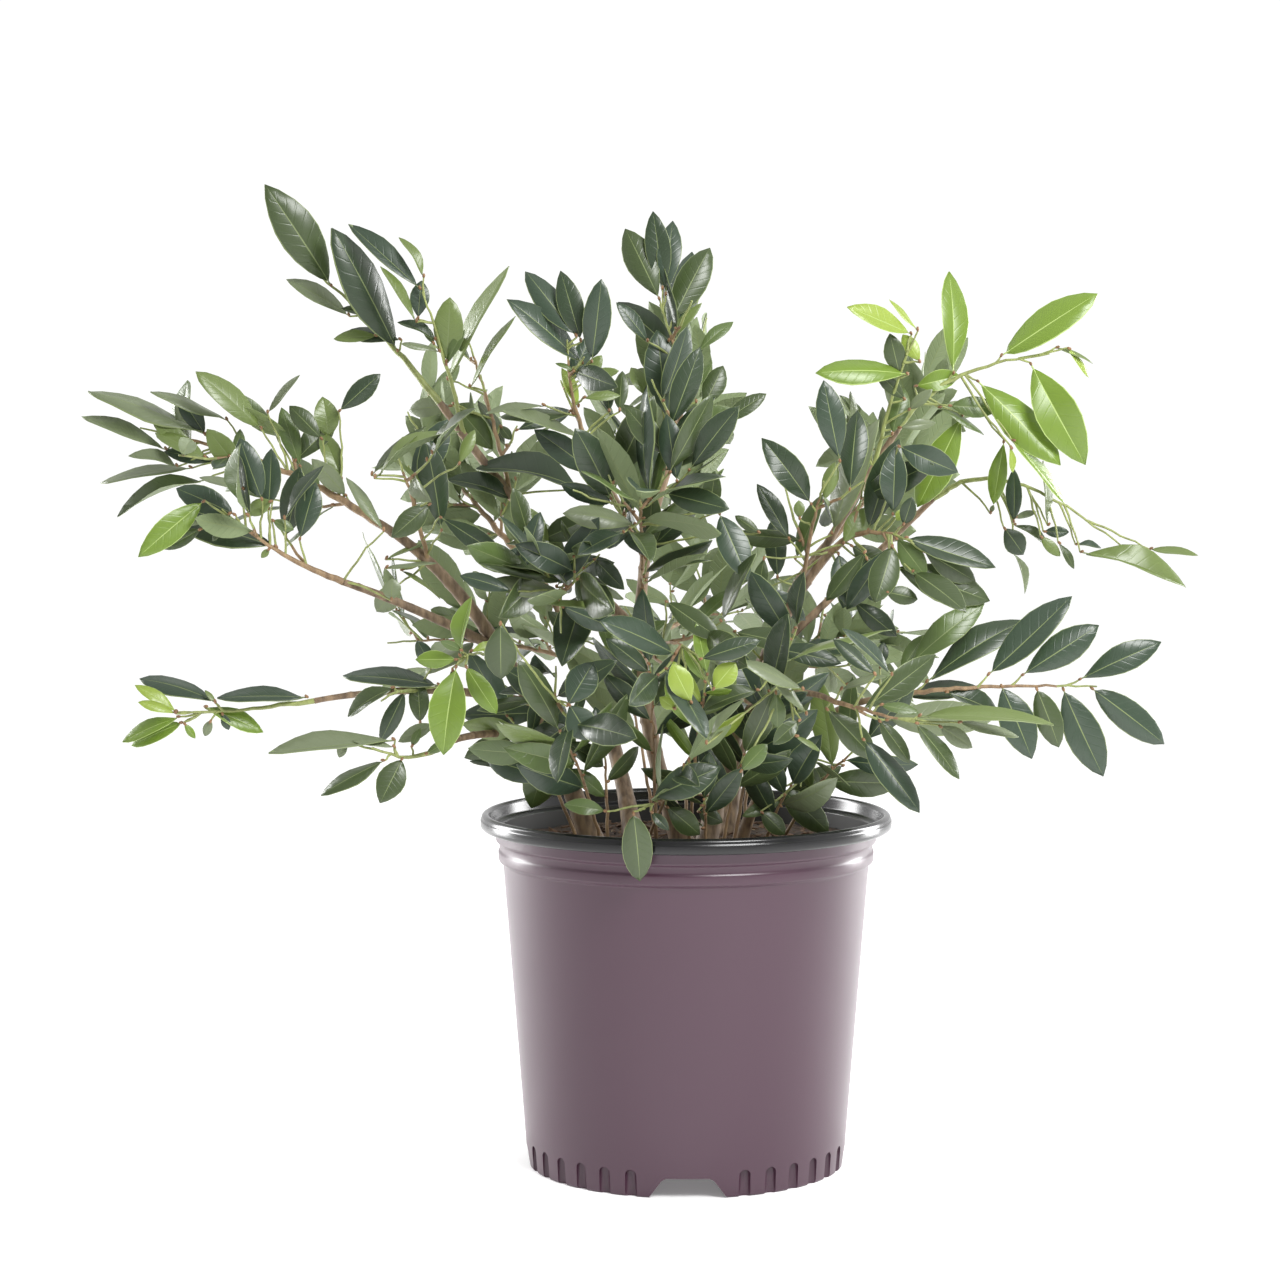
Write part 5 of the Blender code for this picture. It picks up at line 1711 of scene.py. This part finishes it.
def twig_tree():
    tree = Tree("swept_shoots", {
        "Sides": ("Int", TWIG_SIDES), "Old": ("Material", None), "New": ("Material", None)})
    lines = tree.add("GeometryNodeMeshToCurve", {"Mesh": tree.given["Geometry"]})
    circle = tree.add("GeometryNodeCurvePrimitiveCircle", {
        "Resolution": tree.given["Sides"], "Radius": 1.0})
    tubes = tree.add("GeometryNodeCurveToMesh", {
        "Curve": lines, "Profile Curve": circle, "Scale": tree.named("radius_here", "FLOAT"),
        "Fill Caps": True})
    made = tree.add("GeometryNodeSetShadeSmooth", {"Geometry": tubes})
    made = tree.add("GeometryNodeRealizeInstances", {"Geometry": made})
    made = tree.add("GeometryNodeSetMaterial", {"Geometry": made, "Material": tree.given["Old"]})
    new = tree.add("FunctionNodeCompare", {0: tree.named("youth", "FLOAT"), 1: YOUNG_FROM},
                   data_type="FLOAT", operation="GREATER_THAN")
    made = tree.add("GeometryNodeSetMaterial", {
        "Geometry": made, "Selection": new, "Material": tree.given["New"]})
    return tree.end(made)


# %% [markdown]
# ## Lay out the shoots
# Real shoots bend a little at every leaf, and perfect curves look like wire. So each shoot is cut
# into short steps, and the points between its ends are pushed off the line by half a millimetre.
# Each point carries its radius, and an age that the tree reads to choose brown or olive.

# %% Sweep the shoots
SHOOT_STEP = 0.006
FEWEST_STEPS = 3
TIP_RADIUS = 0.0006
ZIGZAG = 0.0006
YOUTH_OF_ORDER = 0.25
YOUTH_AT_TIP = 0.6
places, edges, radii, youth = [], [], [], []
zigzag = random.Random(7)
for shoot in shoots:
    count = max(FEWEST_STEPS, int(path_length(shoot.path) / SHOOT_STEP))
    first = len(places)
    for i in range(count + 1):
        share = i / count
        bent = 0 < i < count
        aside = Vector([zigzag.uniform(-1, 1) for _ in range(3)]) * ZIGZAG if bent else Vector()
        places.append(on_path(shoot.path, share)[0] + aside)
        radii.append(shoot.foot_radius + (TIP_RADIUS - shoot.foot_radius) * share)
        youth.append(YOUTH_OF_ORDER * shoot.order + share * YOUTH_AT_TIP)
    edges += [(first + i, first + i + 1) for i in range(count)]
mesh = bpy.data.meshes.new("twigs")
mesh.from_pydata(places, edges, [])
for label, values in (("radius_here", radii), ("youth", youth)):
    mesh.attributes.new(label, "FLOAT", "POINT").data.foreach_set("value", values)
twigs = twig_tree().run(shown("twigs", mesh), sides=TWIG_SIDES, old=twig_brown, new=twig_green)
stand_in_for(twigs)

# %% [markdown]
# ## Leaves
# A leaf is one closed blade of about seventy faces: an oval that is widest past its middle, a pale rib
# down the face, a thin pale edge, and a short stalk. A flat card with a see-through picture would be
# cheaper, but it has no edge and no underside of its own. Eight blades differ in how they fold, arch
# and wave, each habit drawn between two limits. All are one unit long, and a point's size scales
# them.

# %% The shapes of a blade
ROWS = (0.0, 0.06, 0.17, 0.31, 0.46, 0.61, 0.76, 0.90, 1.0)
RIB = 0.045
RIB_TAPER = 0.7
UNDER_RIB = 1.5 * RIB
EDGE = 0.955
SHARP_EDGE = 0.99
TOP = (-1.0, -EDGE, -RIB, RIB, EDGE, 1.0)
STALK = 0.06
STALK_WIDE = 0.026
STALK_HIGH = 0.010
STALK_CORNERS = (0.5, 2.6, 4.7)
STALK_ENDS = ((0.0, 0.0), (STALK + 0.05, -0.002))
BLADE_THICKNESS = 0.008
THICK_FROM = 0.05
EDGE_DROP = 0.008
NARROWEST = 0.012
SLOPE = 0.34
ARCH_FROM = 0.15
SICKLE_REACH = 0.3
WAVES = 9
WAVE_SHIFT = 1.3
HABITS = {
    "swell": (0.95, 1.15), "blunt": (0.62, 0.80), "broad": (0.95, 1.25), "fold": (0.05, 0.42),
    "cup": (-0.15, 0.25), "arch": (-0.10, 0.65), "sickle": (-0.30, 0.30), "twist": (-0.3, 0.3),
    "wave": (0.006, 0.018), "phase": (0, 6),
}
UPPER_PART, UNDER_PART, RIB_PART = range(3)


def blade_shape(seed):
    """One blade a unit long, with its own outline, fold, arch and wave."""
    rng = random.Random(seed)
    habits = [rng.uniform(*limits) for limits in HABITS.values()]
    swell, blunt, broad, fold, cup, arch, sickle, twist, wave, phase = habits
    bm = bmesh.new()
    part = bm.faces.layers.int.new("part")
    uv = bm.loops.layers.uv.new("blade")
    flat = {}

    def cross_row(share, y, z):
        """The upper and lower points across the blade at a share of its length."""
        wide = max(NARROWEST, 0.5 * broad * math.sin(math.pi * share ** swell) ** blunt)
        thick = BLADE_THICKNESS * math.sin(math.pi * min(share + THICK_FROM, 1)) ** 0.5

        def place(a, layer):
            out = a * wide * (1 - RIB_TAPER * share if abs(a) <= UNDER_RIB else 1)
            rise = fold * abs(out) * SLOPE + cup * out * out
            rise += wave * a * a * math.sin(WAVES * share + phase + (WAVE_SHIFT if a > 0 else 0))
            rise += layer * thick * math.sqrt(1 - a * a) - (EDGE_DROP if abs(a) == 1 else 0)
            roll = twist * share
            aside = sickle * SICKLE_REACH * share * share
            x = out * math.cos(roll) - rise * math.sin(roll) + aside
            vert = bm.verts.new((x, y, z + rise * math.cos(roll) + out * math.sin(roll) * SLOPE))
            flat[vert] = (a, share)
            return vert

        upper = [place(a, 0.5) for a in TOP]
        return upper, [upper[0], place(-UNDER_RIB, -0.5), place(UNDER_RIB, -0.5), upper[-1]]

    y, z, rows = STALK, 0.0, []
    for i, share in enumerate(ROWS):
        if i:
            step, angle = share - ROWS[i - 1], arch * (share - ARCH_FROM)
            y, z = y + step * math.cos(angle), z - step * math.sin(angle)
        rows.append(cross_row(share, y, z))
    for (upper, lower), (upper_next, lower_next) in zip(rows, rows[1:]):
        for c in range(5):
            face = bm.faces.new((upper[c], upper[c + 1], upper_next[c + 1], upper_next[c]))
            face[part] = UPPER_PART if c in (1, 3) else RIB_PART
        for c in range(3):
            face = bm.faces.new((lower[c], lower_next[c], lower_next[c + 1], lower[c + 1]))
            face[part] = RIB_PART if c == 1 else UNDER_PART
    for (upper, lower), last in ((rows[0], False), (rows[-1], True)):
        loop = upper + lower[2:0:-1]
        bm.faces.new(loop if last else loop[::-1])[part] = RIB_PART
    for edge in bm.edges:
        edge.smooth = min(abs(flat[v][0]) for v in edge.verts) < SHARP_EDGE
    for face in bm.faces:
        face.smooth = True
        for loop in face.loops:
            loop[uv].uv = flat[loop.vert]
    stalk = [[bm.verts.new((STALK_WIDE * math.cos(turn), at, STALK_HIGH * math.sin(turn) + rise))
              for turn in STALK_CORNERS] for at, rise in STALK_ENDS]
    for c in range(3):
        after = (c + 1) % 3
        face = bm.faces.new((stalk[0][c], stalk[0][after], stalk[1][after], stalk[1][c]))
        face[part], face.smooth = RIB_PART, True
    for end in (stalk[0][::-1], stalk[1]):
        bm.faces.new(end)[part] = RIB_PART
    bmesh.ops.recalc_face_normals(bm, faces=bm.faces)
    return mesh_of("blade", bm)


blades = shape_collection("blade", [blade_shape(seed) for seed in range(BLADE_KINDS)])

# %% [markdown]
# ## Set the leaves
# Every leaf becomes a point that carries its directions, its size, its blade and its tint. The masses
# of one mixture are joined into one piece, so that the plant has a few large pieces and not hundreds
# of small ones. The tree deals out three materials to a leaf: its upper side, its underside and
# its rib.

# %% Foliage
NEW_TINTS = ("lime", "fresh")
finishes = {}
for tint, name in enumerate(TINTS):
    age = "new" if name in NEW_TINTS else "old"
    finishes[UPPER_PART, tint] = leaf_materials["upper", name]
    finishes[UNDER_PART, tint] = leaf_materials["under", age]
    finishes[RIB_PART, tint] = leaf_materials["rib", age]
leaf_tree = copies_tree("leaves_on_shoots", finishes)
for tint in MIXTURES:
    masses = [mass.name for mass in MASSES if mass.tint == tint]
    grown_here = masses + ["suckers"] if tint == "dark" else masses
    rows = [{"at": leaf.root, "along": leaf.along, "face": leaf.face, "shape": leaf.shape,
             "size": (leaf.width, leaf.length, leaf.length), "tint": leaf.tint}
            for name in grown_here for leaf in crown[name]]
    leaves = leaf_tree.run(points_object("foliage_" + tint, rows), shapes=blades)
    stand_in_for(leaves, masses)

# %% [markdown]
# ## Set the buds
# A small reddish bud sits in the angle of every leaf, and next year's flowers and shoots come from
# it. Twenty faces are enough at this size. The same kind of tree sets them, leaning away from
# their leaves.

# %% Buds
BUD_LENGTH = 0.0042
BUD_GIRTH = 0.55
BUD_FORWARD = 0.35
BUD_LEAN = 0.9


def bud_shape():
    bm = bmesh.new()
    bmesh.ops.create_icosphere(bm, subdivisions=1, radius=0.5)
    for vert in bm.verts:
        vert.co.x *= BUD_GIRTH
        vert.co.z *= BUD_GIRTH
        vert.co.y += BUD_FORWARD
    for face in bm.faces:
        face.smooth = True
    return mesh_of("bud", bm)


buds = [{"at": leaf.root, "along": leaf.along + leaf.face * BUD_LEAN, "face": leaf.face,
         "size": (BUD_LENGTH,) * 3} for leaves in crown.values() for leaf in leaves]
bud_tree = copies_tree("buds_on_shoots", {(0, 0): bud_brown})
bud_shapes = shape_collection("bud", [bud_shape()])
stand_in_for(bud_tree.run(points_object("buds", buds), shapes=bud_shapes))

# %% [markdown]
# ## The studio
# The photograph has a white ground and soft light from all sides. A wide pale floor that glows a
# little, under a white sky, does for both. The eye sees the same white everywhere, but the sky lights
# the plant less from the viewer's side, so that leaves and pot keep their depth.

# %% Floor and sky
FLOOR_RADIUS = 14
FLOOR_WHITE = (0.96, 0.96, 0.96)
FLOOR_GLOW = 0.16
SKY = 1.05
DARK_SIDE = 0.50
FADE_FROM, FADE_TO = -0.75, 0.05
floor_mesh = bmesh.new()
bmesh.ops.create_circle(floor_mesh, cap_ends=True, segments=96, radius=FLOOR_RADIUS)
floor = shown("floor", mesh_of("floor", floor_mesh))
pale = Finish("pale_floor", FLOOR_WHITE, 0.9, Emission_Color=(1, 1, 1, 1), Emission_Strength=FLOOR_GLOW)
floor.data.materials.append(pale.material)


def studio_sky():
    """White to the eye from every side, but dimmer on what it lights from the viewer's side."""
    sky = bpy.data.worlds.new("studio")
    sky.use_nodes = True
    tree = sky.node_tree
    seen = tree.nodes["Background"]
    seen.inputs["Color"].default_value = (1, 1, 1, 1)
    seen.inputs["Strength"].default_value = SKY
    places = new_node(tree, "ShaderNodeTexCoord").outputs["Object"]
    split = new_node(tree, "ShaderNodeSeparateXYZ", {"Vector": places})
    fade = new_node(tree, "ShaderNodeMapRange", {
        "Value": split.outputs["Y"], "From Min": FADE_FROM, "From Max": FADE_TO,
        "To Min": DARK_SIDE, "To Max": SKY})
    lighting = new_node(tree, "ShaderNodeBackground", {
        "Color": (1, 1, 1, 1), "Strength": fade.outputs["Result"]})
    to_the_eye = new_node(tree, "ShaderNodeLightPath").outputs["Is Camera Ray"]
    mix = new_node(tree, "ShaderNodeMixShader", {
        "Fac": to_the_eye, 1: lighting.outputs["Background"], 2: seen.outputs["Background"]})
    tree.links.new(mix.outputs["Shader"], tree.nodes["World Output"].inputs["Surface"])
    return sky


bpy.context.scene.world = studio_sky()
print("floor", 2 * FLOOR_RADIUS, "m across")

# %% [markdown]
# ## Three soft lights
# Two tall soft lights at the sides draw the bright edges on the pot and the sheen on the leaves, and
# a smaller one above the viewer lifts the front. Point lights would draw hard shadows that the
# photograph doesn't have.

# %% Lights
CENTRE = (0.0, 0.0, 0.35)
LIGHTS = (
    ("left_strip", (-1.5, 0.9, 0.5), (0.5, 1.6), 45),
    ("right_strip", (1.5, 0.9, 0.5), (0.5, 1.6), 45),
    ("top_box", (0.6, -1.0, 1.25), (0.6, 0.6), 24),
)
for name, place, (wide, high), power in LIGHTS:
    light = bpy.data.lights.new(name, "AREA")
    light.shape = "RECTANGLE"
    light.size, light.size_y, light.energy = wide, high, power
    obj = bpy.data.objects.new(name, light)
    obj.location = place
    obj.rotation_mode = "QUATERNION"
    obj.rotation_quaternion = (Vector(CENTRE) - Vector(place)).to_track_quat("-Z", "Y")
    obj.visible_camera = False
    scene_home.objects.link(obj)
print(len(LIGHTS), "soft lights")
